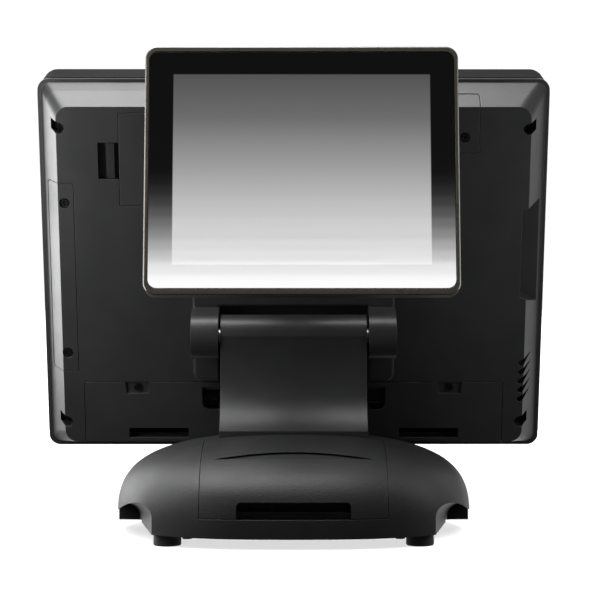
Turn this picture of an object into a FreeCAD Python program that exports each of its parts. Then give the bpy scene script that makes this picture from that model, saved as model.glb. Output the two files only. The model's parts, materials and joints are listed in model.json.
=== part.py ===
# Point-of-sale touchscreen terminal with a customer display on its back.
# Frame: origin on the resting surface, under the middle of the whole terminal, +Z up, -Y towards the customer,
# +Y towards the cashier, +X to the right of the customer who looks at the back of the terminal.
# The head and the customer display are each modelled flat in a frame of their own, whose origin lies on
# their hinge axis (x along the axis, y from back to front, z up the panel), and are then tilted in place.
import FreeCAD, Part
import Sketcher
import math
import os

doc = FreeCAD.newDocument("pos_terminal")
sheet = doc.addObject("Spreadsheet::Sheet", "sizes")
doc.recompute()
V = FreeCAD.Vector


# ---------------------------------------------------------------- sizes that are bound to the spreadsheet
class Size:
    """A number together with the spreadsheet expression that gives it."""

    def __init__(self, value, text):
        self.value = float(value)
        self.text = text

    def __add__(self, other):
        other = as_size(other)
        return Size(self.value + other.value, f"({self.text} + {other.text})")

    def __radd__(self, other):
        return as_size(other) + self

    def __sub__(self, other):
        other = as_size(other)
        return Size(self.value - other.value, f"({self.text} - {other.text})")

    def __rsub__(self, other):
        return as_size(other) - self

    def __mul__(self, other):
        other = as_size(other)
        return Size(self.value * other.value, f"({self.text} * {other.text})")

    def __rmul__(self, other):
        return as_size(other) * self

    def __truediv__(self, other):
        other = as_size(other)
        return Size(self.value / other.value, f"({self.text} / {other.text})")

    def __neg__(self):
        return Size(-self.value, f"(0 - {self.text})")


def as_size(number):
    return number if isinstance(number, Size) else Size(number, f"({number})")


rows = 0


def size(alias, value, note):
    """One named size: a row of the sheet, and the Size that stands for it in this script."""
    global rows
    rows += 1
    sheet.set(f"A{rows}", note)
    sheet.set(f"B{rows}", str(value))
    sheet.setAlias(f"B{rows}", alias)
    return Size(value, f"sizes.{alias}")


def bind(thing, prop, number):
    thing.setExpression(prop, as_size(number).text)


# overall
gap = size("seam_gap", 0.35, "clearance at each parting line between covers")
tilt = size("head_tilt", 16.0, "head leans this far back from upright, degrees")
axisY = size("tilt_axis_y", 10.0, "head tilt axis, towards the cashier")
axisZ = size("tilt_axis_z", 137.5, "head tilt axis above the table")
wall = size("shell_wall", 2.5, "plastic wall")
runFit = size("running_clearance", 0.05, "radial clearance of a turning fit")

# head
headWide = size("head_wide", 365.0, "rear cover rim, across")
headTall = size("head_tall", 276.0, "rear cover rim, up the panel")
headDrop = size("head_drop", 99.5, "rim's lower edge below the tilt axis, along the panel")
backY = size("back_plane", 27.5, "tilt axis to the flat of the back")
bulge = size("back_bulge", 20.0, "flat of the back stands this far off the rim")
stepDeep = size("back_step", 6.0, "first, shallow slope next to the rim")
rimDeep = size("rim_thick", 3.0, "rim flange thickness")
rimBand = size("rim_band", 2.6, "flat band of the rim, seen from behind")
stepIn = size("step_inset", 6.5, "shallow slope ends this far in from the rim")
sideIn = size("side_inset", 14.5, "flat of the back starts this far in at the sides")
topIn = size("top_inset", 16.5, "and at the top")
lowIn = size("low_inset", 9.5, "and at the bottom")
rimRound = size("rim_corner", 8.0, "rim corner radius")
backRound = size("back_corner", 9.0, "corner radius of the flat of the back")
bezelDeep = size("bezel_deep", 39.0, "front bezel, parting line to front face")
bezelOver = size("bezel_over", 0.5, "bezel stands this far proud of the rim all round")
bezelRound = size("bezel_corner", 11.0, "bezel corner radius")
bezelLip = size("bezel_lip", 6.5, "bezel front lip around the glass")
glassThick = size("glass_thick", 3.0, "touch glass")
tapeThick = size("tape_thick", 0.8, "foam tape under the glass")
tapeWide = size("tape_wide", 9.0, "foam tape band")
lcdWide = size("lcd_wide", 326.5, "15 inch panel module, across")
lcdTall = size("lcd_tall", 253.5, "15 inch panel module, up")
lcdThick = size("lcd_thick", 12.0, "15 inch panel module")
plateThick = size("chassis_thick", 1.2, "sheet metal chassis")
boardThick = size("board_thick", 1.6, "circuit board")
standoff = size("standoff_tall", 6.0, "chassis to mainboard")
boardWide = size("board_wide", 230.0, "mainboard across")
boardTall = size("board_tall", 170.0, "mainboard up")

# openings and covers in the back
screwIn = size("screw_inset", 16.3, "case screws in from the rim at the sides")
screwTop = size("screw_from_top", 32.8, "upper case screws below the rim")
screwLow = size("screw_from_low", 25.0, "lower case screws above the rim")
wellR = size("screw_well", 3.9, "case screw well radius")
wellTip = size("well_tip", 8.6, "pointed tip of the well, from its centre")
sideCoverIn = size("side_cover_in", 11.0, "side cover's inner edge, in from the flat's edge")
sideCoverOut = size("side_cover_out", 6.0, "side cover's reach down the slope")
sideCoverTop = size("side_cover_top", 104.8, "side cover's top above the tilt axis")
sideCoverLow = size("side_cover_low", -35.3, "side cover's bottom")
hatchLeft = size("hatch_left", -123.8, "battery hatch, left edge")
hatchWide = size("hatch_wide", 64.0, "battery hatch, across")
hatchLow = size("hatch_low", 88.6, "battery hatch, lower edge")
hatchTall = size("hatch_tall", 66.8, "battery hatch, up")
latchWide = size("latch_pocket_wide", 15.0, "latch pocket across")
latchLow = size("latch_pocket_low", 107.8, "latch pocket's lower edge")
latchTall = size("latch_pocket_tall", 26.5, "latch pocket up")
latchDeep = size("latch_pocket_deep", 6.0, "latch pocket depth")
latchTravel = size("latch_travel", 5.0, "latch slides this far")
optionLeft = size("option_left", 58.0, "option cover, left edge")
optionRight = size("option_right", 131.4, "option cover, right edge")
optionLow = size("option_low", 126.7, "option cover, lower edge")
cableHalf = size("cable_cover_half", 153.0, "cable cover, half width")
cableTop = size("cable_cover_top", -44.0, "cable cover, top edge")
entryHalf = size("cable_entry_half", 67.0, "cable entry behind the neck, half width")
entryTop = size("cable_entry_top", -47.8, "cable entry top")
entryTall = size("cable_entry_tall", 17.2, "cable entry height")
slotNear = size("cable_slot_near", 77.5, "cable slot, inner end")
slotFar = size("cable_slot_far", 121.0, "cable slot, outer end")
slotLow = size("cable_slot_low", -87.0, "cable slot, lower edge")
slotTall = size("cable_slot_tall", 7.5, "cable slot height")
portTop = size("port_bay_top", 84.3, "side port bay, top")
portLow = size("port_bay_low", 20.6, "side port bay, bottom")
portIn = size("port_bay_in", 4.5, "side port bay reaches this far in from the flat's edge")
portDeep = size("port_bay_deep", 16.0, "side port bay depth")
ventLow = size("vent_low", -57.0, "lowest vent slot")
ventPitch = size("vent_pitch", 6.9, "vent slots' pitch")

# hinge at the head
knuckleR = size("knuckle_radius", 16.4, "hinge knuckle radius")
knuckleIn = size("knuckle_in", 53.3, "knuckle's inner face from the middle")
knuckleOut = size("knuckle_out", 72.8, "knuckle's outer face from the middle")
bossDeep = size("boss_deep", 12.0, "hinge cover stands this far off the back")
bossTop = size("boss_top", 39.0, "hinge cover above the axis")
bossLow = size("boss_low", -40.0, "hinge cover below the axis")
shaftR = size("shaft_radius", 5.0, "tilt shaft radius")
earR = size("ear_radius", 12.0, "steel hinge ear radius")
earThick = size("ear_thick", 6.0, "steel hinge ear thickness")

# neck
neckHalf = size("neck_half", 51.7, "half the neck's width")
barrelR = size("barrel_radius", 15.0, "neck barrel radius")
frameHalf = size("neck_frame_half", 36.0, "half the cast neck frame's width")
hubR = size("hub_radius", 11.0, "cast hub around the shafts")

# base
baseLow = size("base_low", 8.0, "base above the table, on its feet")
baseHalf = size("base_half", 123.0, "half the base's width")
baseBack = size("base_back", 119.89, "base centre to its back edge")
baseFront = size("base_front", 98.0, "base centre to its front edge")
baseMid = size("base_mid_y", -3.0, "base centre, along y")
domeTall = size("dome_tall", 62.2, "dome above the base's lower edge")
domeWall = size("dome_wall", 3.0, "dome wall")
coverHalf = size("base_cover_half", 61.5, "half the rear cover of the base")
coverLow = size("base_cover_low", 20.9, "rear cover's lower edge above the table")
slotHalf = size("base_slot_half", 37.2, "half the cable slot's width")
slotTop = size("base_slot_top", 31.6, "cable slot's top above the table")
footR = size("foot_radius", 9.3, "rubber foot radius")
footX = size("foot_x", 84.0, "feet from the middle")
footBack = size("foot_back_y", -85.0, "rear feet")
footFront = size("foot_front_y", 55.0, "front feet")

# customer display
dispY = size("display_axis_y", -32.9, "display hinge from the tilt axis, in the head's frame")
dispZ = size("display_axis_z", 119.2, "display hinge above the tilt axis, in the head's frame")
dispX = size("display_side", 5.4, "customer display sits this far to +X of its hinge's middle")
dispTilt = size("display_tilt", 9.0, "display leans back from upright, degrees")
dispWide = size("display_wide", 208.5, "customer display across")
dispTall = size("display_tall", 168.0, "customer display up")
dispRound = size("display_corner", 8.2, "customer display corner radius")
dispReach = size("display_reach", 40.0, "display hinge to the display's front face")
dispFrame = size("display_frame_deep", 12.0, "display bezel depth")
dispBack = size("display_back_deep", 14.0, "display rear housing depth")
dispLip = size("display_lip", 2.6, "display bezel around the glass")
dispChin = size("display_chin", 4.2, "display bezel under the glass")
dispGlass = size("display_glass_thick", 2.0, "display glass")
dispWall = size("display_wall", 2.2, "display housing wall")
pinR = size("display_pin_radius", 4.0, "display hinge pin")
armR = size("arm_barrel_radius", 9.0, "arm's barrel around the pin")
armHalf = size("arm_half", 18.0, "half the arm's width at the hinge")
vesa = size("display_mount_pitch", 75.0, "mount screws of the display arm, apart")

rimY = backY + bulge
partY = rimY + rimDeep
frontY = partY + bezelDeep
headLow = -headDrop
headTop = headTall - headDrop
headMid = (headTop + headLow) / 2
flatHalf = headWide / 2 - sideIn
flatTop = headTop - topIn
flatLow = headLow + lowIn
boardY = frontY - glassThick - tapeThick - lcdThick - 4 - plateThick - standoff - boardThick


# ---------------------------------------------------------------- ways to make a solid
parts = {}


def new(kind, name):
    return doc.addObject(kind, name)


def block(name, x, y, z):
    """A box from (low, high) along each axis."""
    box = new("Part::Box", name)
    for prop, place, (low, high) in (("Length", "x", x), ("Width", "y", y), ("Height", "z", z)):
        bind(box, prop, as_size(high) - as_size(low))
        bind(box, "Placement.Base." + place, low)
    return box


TURNS = {"x": FreeCAD.Rotation(V(0, 1, 0), 90), "y": FreeCAD.Rotation(V(1, 0, 0), -90),
    "z": FreeCAD.Rotation()}


def rod(name, axis, at, length, radius, small=None):
    """A cylinder, or a cone down to the radius small, from the point at along +axis."""
    turned = new("Part::Cone" if small is not None else "Part::Cylinder", name)
    turned.Placement = FreeCAD.Placement(V(), TURNS[axis])
    if small is None:
        bind(turned, "Radius", radius)
    else:
        bind(turned, "Radius1", radius)
        bind(turned, "Radius2", small)
    bind(turned, "Height", length)
    for place, number in zip("xyz", at):
        bind(turned, "Placement.Base." + place, number)
    return turned


def join(name, shapes):
    if len(shapes) == 1:
        return shapes[0]
    made = new("Part::MultiFuse", name)
    made.Shapes = shapes
    return made


def cut(name, base, tools):
    made = new("Part::Cut", name)
    made.Base = base
    made.Tool = join(name + "_tools", tools)
    return made


def shared(name, one, other):
    made = new("Part::Common", name)
    made.Base = one
    made.Tool = other
    return made


def group(name, shapes):
    made = new("Part::Compound", name)
    made.Links = shapes
    return made


def rounded(name, base, radius, pick):
    """Rounds the edges of base that pick(edge) chooses."""
    doc.recompute()
    made = new("Part::Fillet", name)
    made.Base = base
    r = as_size(radius).value
    made.Edges = [(n + 1, r, r) for n, edge in enumerate(base.Shape.Edges) if pick(edge)]
    return made


def along(axis):
    """Picks straight edges that run along an axis."""
    return lambda edge: len(edge.Vertexes) == 2 and abs(edge.tangentAt(edge.FirstParameter).dot(axis)) > 0.999


def fixed(name, shape):
    """A shape made with Part's own functions, for forms that no feature makes."""
    made = new("Part::Feature", name)
    made.Shape = shape
    return made


def on_axis(sketch, kind, geometry, point, number):
    """A bound distance from the sketch's origin to a point, with its sign kept."""
    number = as_size(number)
    ends = (-1, 1, geometry, point)
    if number.value < 0:
        ends = (geometry, point, -1, 1)
        number = -number
    n = sketch.addConstraint(Sketcher.Constraint(kind, *ends, number.value))
    sketch.setExpression(f"Constraints[{n}]", number.text)


def outline_rect(sketch, left, right, low, high, radius=0):
    """A rectangle, with rounded corners if radius isn't 0."""
    a, b, c, d = (as_size(n).value for n in (left, right, low, high))
    r = as_size(radius).value
    first = sketch.GeometryCount
    ends = [((a + r, c), (b - r, c)), ((b, c + r), (b, d - r)), ((b - r, d), (a + r, d)),
        ((a, d - r), (a, c + r))]
    for p, q in ends:
        sketch.addGeometry(Part.LineSegment(V(*p, 0), V(*q, 0)))
    lines = [first, first + 1, first + 2, first + 3]
    if r:
        middles = [(b - r, c + r), (b - r, d - r), (a + r, d - r), (a + r, c + r)]
        for n, m in enumerate(middles):
            circle = Part.Circle(V(*m, 0), V(0, 0, 1), r)
            start = (n - 1) * math.pi / 2
            sketch.addGeometry(Part.ArcOfCircle(circle, start, start + math.pi / 2))
        for n in range(4):
            arc = first + 4 + n
            sketch.addConstraint(Sketcher.Constraint("Tangent", lines[n], 2, arc, 1))
            sketch.addConstraint(Sketcher.Constraint("Tangent", arc, 2, lines[(n + 1) % 4], 1))
            if n:
                sketch.addConstraint(Sketcher.Constraint("Equal", first + 4, arc))
        n = sketch.addConstraint(Sketcher.Constraint("Radius", first + 4, r))
        sketch.setExpression(f"Constraints[{n}]", as_size(radius).text)
    else:
        for n in range(4):
            sketch.addConstraint(Sketcher.Constraint("Coincident", lines[n], 2, lines[(n + 1) % 4], 1))
    for line, kind in zip(lines, ("Horizontal", "Vertical", "Horizontal", "Vertical")):
        sketch.addConstraint(Sketcher.Constraint(kind, line))
    on_axis(sketch, "DistanceY", lines[0], 1, low)
    on_axis(sketch, "DistanceX", lines[1], 1, right)
    on_axis(sketch, "DistanceY", lines[2], 1, high)
    on_axis(sketch, "DistanceX", lines[3], 1, left)


def outline_circle(sketch, x, y, radius):
    r = as_size(radius).value
    first = sketch.addGeometry(Part.Circle(V(as_size(x).value, as_size(y).value, 0), V(0, 0, 1), r))
    n = sketch.addConstraint(Sketcher.Constraint("Radius", first, r))
    sketch.setExpression(f"Constraints[{n}]", as_size(radius).text)
    on_axis(sketch, "DistanceX", first, 3, x)
    on_axis(sketch, "DistanceY", first, 3, y)


NORMALS = {"XY": 1, "XZ": -1, "YZ": 1}


def body(name):
    return new("PartDesign::Body", name)


def sketch_on(owner, name, plane, level):
    """A sketch of a body, parallel to one of its origin planes, at a level along x, y or z."""
    sketch = owner.newObject("Sketcher::SketchObject", name)
    for feature in owner.Origin.OriginFeatures:
        if feature.Role == plane + "_Plane":
            sketch.AttachmentSupport = (feature, [""])
    sketch.MapMode = "FlatFace"
    bind(sketch, "AttachmentOffset.Base.z", as_size(level) * NORMALS[plane])
    return sketch


def draw(sketch, outlines):
    for outline in outlines:
        if len(outline) == 3:
            outline_circle(sketch, *outline)
        else:
            outline_rect(sketch, *outline)


def pad(owner, name, plane, low, high, outlines):
    """Adds the outlines, from low to high along the plane's normal axis."""
    start = high if NORMALS[plane] < 0 else low
    sketch = sketch_on(owner, name + "_outline", plane, start)
    draw(sketch, outlines)
    made = owner.newObject("PartDesign::Pad", name)
    made.Profile = sketch
    bind(made, "Length", as_size(high) - as_size(low))
    doc.recompute()
    return made


def pocket(owner, name, plane, low, high, outlines):
    """Takes the outlines away, from low to high along the plane's normal axis."""
    start = low if NORMALS[plane] < 0 else high
    sketch = sketch_on(owner, name + "_outline", plane, start)
    draw(sketch, outlines)
    before = owner.Shape.Volume
    made = owner.newObject("PartDesign::Pocket", name)
    made.Profile = sketch
    bind(made, "Length", as_size(high) - as_size(low))
    doc.recompute()
    if owner.Shape.Volume > before - 0.01:
        raise RuntimeError(name + " took nothing away")
    return made


def ease(owner, name, kind, amount, pick):
    """A PartDesign fillet or chamfer on the edges that pick(edge) chooses."""
    base = owner.Tip
    names = [f"Edge{n + 1}" for n, edge in enumerate(base.Shape.Edges) if pick(edge)]
    made = owner.newObject("PartDesign::" + kind, name)
    made.Base = (base, names)
    bind(made, "Radius" if kind == "Fillet" else "Size", amount)
    doc.recompute()
    return made


def at_y(level):
    """Picks edges that lie in one plane across y."""
    value = as_size(level).value
    return lambda edge: abs(edge.BoundBox.YMin - value) < 0.01 and abs(edge.BoundBox.YMax - value) < 0.01


def slab(name, plane, low, high, outlines):
    made = body(name)
    pad(made, name + "_pad", plane, low, high, outlines)
    return made


def section(name, level, left, right, low, high, radius):
    """A rounded rectangle across y, for a loft."""
    sketch = new("Sketcher::SketchObject", name)
    sketch.Placement = FreeCAD.Placement(V(), FreeCAD.Rotation(V(1, 0, 0), 90))
    bind(sketch, "Placement.Base.y", level)
    outline_rect(sketch, left, right, low, high, radius)
    return sketch


def loft(name, sections):
    made = new("Part::Loft", name)
    made.Sections = sections
    made.Solid = True
    made.Ruled = True
    return made


# ---------------------------------------------------------------- where finished pieces go
def keep(node, thing, frame="world"):
    """Names a finished piece and puts it where it stands."""
    if thing.TypeId in ("Part::Box", "Part::Cylinder"):
        thing = group(node, [thing])
    if frame != "world":
        thing.Placement = FreeCAD.Placement(V(), FreeCAD.Rotation(V(1, 0, 0), 1))
        up = f"sin({tilt.text})"
        level = f"cos({tilt.text})"
        if frame == "head":
            bind(thing, "Placement.Base.y", axisY)
            bind(thing, "Placement.Base.z", axisZ)
            bind(thing, "Placement.Rotation.Angle", tilt)
        else:
            if frame == "display":
                bind(thing, "Placement.Base.x", dispX)
            back = f"{axisY.text} + {dispY.text} * {level} - {dispZ.text} * {up}"
            rise = f"{axisZ.text} + {dispY.text} * {up} + {dispZ.text} * {level}"
            thing.setExpression("Placement.Base.y", back)
            thing.setExpression("Placement.Base.z", rise)
            bind(thing, "Placement.Rotation.Angle", -dispTilt)
    thing.Label = node
    parts[node] = thing


def screw(name, axis, tip, length, shank, head_long, head, way=1):
    """A pan head screw whose shank starts at tip and whose head ends at tip + way * (length + head_long)."""
    place = "xyz".index(axis)
    low = list(tip)
    top = list(tip)
    if way < 0:
        low[place] = as_size(tip[place]) - length
        top[place] = low[place] - head_long
    else:
        top[place] = as_size(tip[place]) + length
    stem = rod(name + "_stem", axis, low, length, shank)
    cap = rod(name + "_cap", axis, top, head_long, head)
    cross = []
    deep = as_size(head_long) * 0.55
    for n in range(2):
        spans = [None, None, None]
        others = [m for m in range(3) if m != place]
        for m, half in zip(others, (0.8, 0.15) if n else (0.15, 0.8)):
            spans[m] = (as_size(tip[m]) - as_size(head) * half, as_size(tip[m]) + as_size(head) * half)
        low_end = top[place] if way < 0 else as_size(top[place]) + head_long - deep
        spans[place] = (low_end, as_size(low_end) + deep)
        cross.append(block(f"{name}_cross{n}", *spans))
    return cut(name, join(name + "_blank", [stem, cap]), cross)


def prism(name, axis, low, high, points):
    """A polygon, given by its two other coordinates in order, drawn out along an axis."""
    place = "xyz".index(axis)
    corners = []
    for p, q in points + points[:1]:
        corner = [as_size(p).value, as_size(q).value]
        corner.insert(place, as_size(low).value)
        corners.append(V(*corner))
    way = V()
    way[place] = as_size(high).value - as_size(low).value
    return fixed(name, Part.Face(Part.makePolygon(corners)).extrude(way))


def teardrop(name, x, z, radius, out, up, low, high):
    """A round hole along y that runs to a point, out and up from its centre."""
    x, z, radius, out, up = (as_size(n).value for n in (x, z, radius, out, up))
    reach = math.hypot(out, up)
    along_tip = V(out / reach, 0, up / reach)
    across = V(-along_tip.z, 0, along_tip.x)
    side = math.sqrt(reach * reach - radius * radius)
    touch = along_tip * (radius * radius / reach)
    half = across * (radius * side / reach)
    centre = V(x, as_size(low).value, z)
    corners = [centre, centre + touch + half, centre + along_tip * reach, centre + touch - half, centre]
    way = V(0, as_size(high).value - as_size(low).value, 0)
    wedge = Part.Face(Part.makePolygon(corners)).extrude(way)
    hole = Part.makeCylinder(radius, way.y, centre, V(0, 1, 0))
    return fixed(name, wedge.fuse(hole).removeSplitter())


def well(name, x, z, radius, out, up, low, high):
    """A round hole along y with a pointed corner, whose outer edge stands upright."""
    x, z, radius, out, up = (as_size(n).value for n in (x, z, radius, out, up))
    reach = math.hypot(out, up)
    along_tip = V(out / reach, 0, up / reach)
    across = V(-along_tip.z, 0, along_tip.x) * math.copysign(1, out)
    side = math.sqrt(reach * reach - radius * radius)
    centre = V(x, as_size(low).value, z)
    touch = centre + along_tip * (radius * radius / reach) + across * (radius * side / reach)
    lowest = centre + V(math.copysign(radius * 0.7, out), 0, -radius * 0.71)
    corners = [centre, touch, centre + V(out, 0, up), centre + V(out, 0, -1.0), lowest, centre]
    way = V(0, as_size(high).value - as_size(low).value, 0)
    wedge = Part.Face(Part.makePolygon(corners)).extrude(way)
    hole = Part.makeCylinder(radius, way.y, centre, V(0, 1, 0))
    return fixed(name, wedge.fuse(hole).removeSplitter())


# ================================================================ head: the back
half = headWide / 2


def skin(name, levels):
    """The back's shape from rim to flat: (level, side, top and bottom inset from the rim, corner radius)."""
    sections = []
    for n, (level, side, top, low, radius) in enumerate(levels):
        spans = (-half + side, half - side, as_size(headLow) + low, as_size(headTop) - top)
        sections.append(section(f"{name}_section{n}", level, *spans, radius))
    return loft(name, sections)


flange = slab("rim_flange", "XZ", rimY, partY, [(-half, half, headLow, headTop, rimRound)])
outside = skin("back_outside", [
    (rimY, rimBand, rimBand, rimBand, rimRound - 1.5),
    (rimY - stepDeep, stepIn, stepIn + 1, stepIn - 1.5, rimRound),
    (backY, sideIn, topIn, lowIn, backRound)])
inside = skin("back_inside", [
    (partY + 1, rimBand + wall, rimBand + wall, rimBand + wall, rimRound - 3),
    (rimY - stepDeep + wall, stepIn + wall, stepIn + 1 + wall, stepIn - 1 + wall, rimRound - 1),
    (backY + wall, sideIn + 1.8, topIn + 1.8, lowIn + 1.8, backRound - 1.5)])
ledge = size("cover_ledge", 2.0, "ledge that the small covers rest on")
deeper = skin("ledge_inside", [
    (partY + 1, rimBand + wall + ledge, rimBand + wall + ledge, rimBand + wall + ledge, rimRound - 4),
    (rimY - stepDeep + wall + ledge, stepIn + wall + ledge, stepIn + 1 + wall + ledge,
     stepIn - 1 + wall + ledge, rimRound - 3),
    (backY + wall + ledge, sideIn + 1.8 + ledge, topIn + 1.8 + ledge, lowIn + 1.8 + ledge, backRound - 3)])
shell = cut("back_shell", join("back_solid", [flange, outside]), [inside])
ledges = cut("ledge_skin", inside, [deeper])

# the small covers, as (left, right, low, high) seen from the front
slopeEnd = half - stepIn + 0.3
covers = {
    "side_cover": (-slopeEnd, -flatHalf + sideCoverIn, sideCoverLow, sideCoverTop),
    "option_cover": (optionLeft, optionRight, optionLow, headTop - 9.5),
    "cable_cover": (-cableHalf, cableHalf, headLow + 5.5, cableTop)}
coverScrews = {
    "side_cover": [(-half + 19.1, sideCoverTop - 14.4), (-half + 18.1, sideCoverLow + 14)],
    "option_cover": [(121.0, 138.0)],
    "cable_cover": [(-114.2, -47.9), (114.2, -47.9)]}
coverHead = size("cover_screw_head", 2.7, "cover screw head radius")
coverShank = size("cover_screw_shank", 1.25, "cover screw shank radius")
coverSink = size("cover_screw_sink", 1.6, "cover screw head is sunk by this much")
grown = []
rings = []
ledgeHoles = []
for node, (left, right, low, high) in covers.items():
    spanY = (backY - 5, partY + 5)
    wide = block(node + "_opening", (left - gap, right + gap), spanY, (low - gap, high + gap))
    grown.append(rounded(node + "_opening_round", wide, 2.0 + gap, along(V(0, 1, 0))))
    rim = block(node + "_ledge_rim", (left - 3.5, right + 3.5), spanY, (low - 3.5, high + 3.5))
    middle = block(node + "_ledge_middle", (left + 6.5, right - 6.5), spanY, (low + 6.5, high - 6.5))
    rings.append(cut(node + "_ledge", rim, [middle]))
    tools = []
    heads = []
    for n, (x, z) in enumerate(coverScrews[node]):
        ledgeHoles.append(rod(f"{node}_pilot{n}", "y", (x, backY - 5, z), 20, coverShank))
        rings.append(rod(f"{node}_pad{n}", "y", (x, backY, z), 20, coverHead + 3))
        seat = backY + coverSink
        if node == "side_cover":
            seat = seat + 0.6
        heads.append(screw(f"{node}_screw{n}", "y", (x, as_size(seat) + 5, z), 5, coverShank, 1.5,
            coverHead, -1))
        tools.append(rod(f"{node}_hole{n}", "y", (x, backY - 5, z), 20, coverShank + 0.15))
        if node == "cable_cover":
            corners = [(x - 9, cableTop + 1), (x + 9, cableTop + 1), (x + 8, cableTop - 8.5),
                (x - 8, cableTop - 8.5)]
            tools.append(prism(f"{node}_notch{n}", "y", backY - 5, seat, corners))
        else:
            tools.append(rod(f"{node}_sink{n}", "y", (x, backY - 5, z), as_size(seat) - backY + 5,
                coverHead + 1.1))
    if node == "cable_cover":
        entry = block("cable_entry", (-entryHalf, entryHalf), spanY, (entryTop - entryTall, entryTop))
        tools.append(rounded("cable_entry_round", entry, 5.5, lambda e: along(V(0, 1, 0))(e) and
                             e.BoundBox.ZMax < -60))
        for side in (-1, 1):
            ends = sorted([slotNear * side, slotFar * side], key=lambda number: number.value)
            tools.append(block(f"cable_slot{side + 1}", ends, spanY, (slotLow, slotLow + slotTall)))
    extent = block(node + "_extent", (left, right), spanY, (low, high))
    piece = shared(node + "_blank", shell, rounded(node + "_extent_round", extent, 2.0, along(V(0, 1, 0))))
    keep(node, cut(node, piece, tools), "head")
    keep(node + "_screws", group(node + "_screws", heads), "head")

# screw wells, with the bosses that hold the case screws
caseScrews = [(-half + screwIn, headTop - screwTop + 0.8), (half - screwIn, headTop - screwTop),
              (-half + screwIn, headLow + screwLow), (half - screwIn, headLow + screwLow)]
wellFloor = backY + 13
bosses = []
wells = []
caseHeads = []
for n, (x, z) in enumerate(caseScrews):
    side = -1 if as_size(x).value < 0 else 1
    bosses.append(rod(f"case_boss{n}", "y", (x, backY, z), as_size(wellFloor) - backY + 3, wellR + 2.2))
    wells.append(well(f"case_well{n}", x, z, wellR, side * 5.8, 6.6, backY - 5, wellFloor))
    wells.append(rod(f"case_hole{n}", "y", (x, backY, z), 30, 1.75))
    caseHeads.append(screw(f"case_screw{n}", "y", (x, as_size(wellFloor) + 11, z), 11, 1.5, 2.2, 2.9, -1))
keep("case_screws", group("case_screws", caseHeads), "head")

# vents over the loudspeaker
for n in range(5):
    wells.append(teardrop(f"vent{n}", 165.9, ventLow + ventPitch * n, 2.0, 8.2, 6.6, backY - 5, backY + 16))

# side port bay, open through the slope, with slanted ends
bayIn = flatHalf - portIn
bayOut = half - stepIn + 0.4
bayFloor = backY + portDeep
tub = prism("port_tub", "y", backY, bayFloor + 2.2, [
    (bayIn - 2, portTop + 2.5), (bayOut, portTop + 9), (bayOut, portLow - 9), (bayIn - 2, portLow - 2.5)])
bay = prism("port_bay", "y", backY - 5, bayFloor, [
    (bayIn, portTop), (bayOut + 12, portTop + 12), (bayOut + 12, portLow - 12), (bayIn, portLow)])
bosses.append(tub)
wells.append(bay)
portMouth = size("port_mouth", 15.0, "opening for one socket in the side port bay")
portCentres = [portLow + 12, portLow + 31]
for n, z in enumerate(portCentres):
    wells.append(block(f"port_mouth{n}", (bayIn - 5, bayIn + 1), (backY + 5, backY + 13),
                       (z - portMouth / 2, z + portMouth / 2)))
buttonY = backY + 9.0
buttonZ = portTop - 13.0
buttonR = size("power_button_radius", 3.2, "power button")
wells.append(rod("button_hole", "x", (bayIn - 5, buttonY, buttonZ), 6, buttonR + 0.35))

# battery bay and latch pocket
hatchRight = hatchLeft + hatchWide
hatchTop = hatchLow + hatchTall
barrel = size("hatch_barrel", 2.0, "hatch hinge barrel radius")
hatchAxisX = hatchRight - barrel
hatchAxisY = backY + barrel
bosses.append(block("battery_flange", (hatchLeft - 4, hatchRight - 6),
    (backY + wall - 0.5, backY + wall + 2.4),
                    (hatchLow - 3.5, hatchTop + 3.5)))
bosses.append(block("battery_tub", (hatchLeft + 2, hatchRight - 6), (backY + wall, backY + 26),
                    (hatchLow + 2, hatchTop - 2)))
for n, (z, reach) in enumerate(((hatchLow - 6.5, 7.4), (hatchTop + gap, 5.9))):
    bosses.append(rod(f"hatch_lug{n}", "z", (hatchAxisX, hatchAxisY, z), 6.0, barrel + 1.3))
    wells.append(rod(f"hatch_pin_hole{n}", "z", (hatchAxisX, hatchAxisY, as_size(z) - 1), reach, 1.05))
latchLeft = hatchLeft - latchWide
bosses.append(block("latch_tub", (latchLeft - 1.8, hatchLeft + 2), (backY + 1, backY + latchDeep + 1.6),
                    (latchLow - 3.2, latchLow + latchTall + 3.2)))
wells.append(block("battery_space", (hatchLeft + 3.8, hatchRight - 7.8), (backY - 5, backY + 24.4),
                   (hatchLow + 3.8, hatchTop - 3.8)))
wells.append(block("hatch_opening", (hatchLeft - gap, hatchRight + gap), (backY - 5, backY + wall + gap),
                   (hatchLow - gap, hatchTop + gap)))
wells.append(rod("hatch_barrel_room", "z", (hatchAxisX, hatchAxisY, hatchLow - gap),
                 hatchTall + gap * 2, barrel + gap))
wells.append(block("latch_pocket", (latchLeft, hatchLeft - gap + 0.1), (backY - 5, backY + latchDeep),
                   (latchLow, latchLow + latchTall)))
wells.append(block("latch_groove", (latchLeft, hatchLeft - gap + 0.1),
    (backY + latchDeep - 2.3, backY + latchDeep),
                   (latchLow - 1.6, latchLow + latchTall + 1.6)))

# holes for the hinge and display mount screws, and for the display cable
hingeBolts = [(x, z) for x in (-63.0, 63.0) for z in (-25.0, 27.0)]
mountBolts = [(vesa * x, dispZ + 30 * z) for x in (-0.5, 0.5) for z in (-1, 1)]
for n, (x, z) in enumerate(hingeBolts + mountBolts):
    wells.append(rod(f"bolt_hole{n}", "y", (x, backY - 1, z), 6, 2.2))
wells.append(rod("display_cable_hole", "y", (0, backY - 1, dispZ - 12), 6, 5.0))
wells.append(rod("tilt_cable_hole", "y", (0, backY - 1, -12.0), 6, 6.0))

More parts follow.
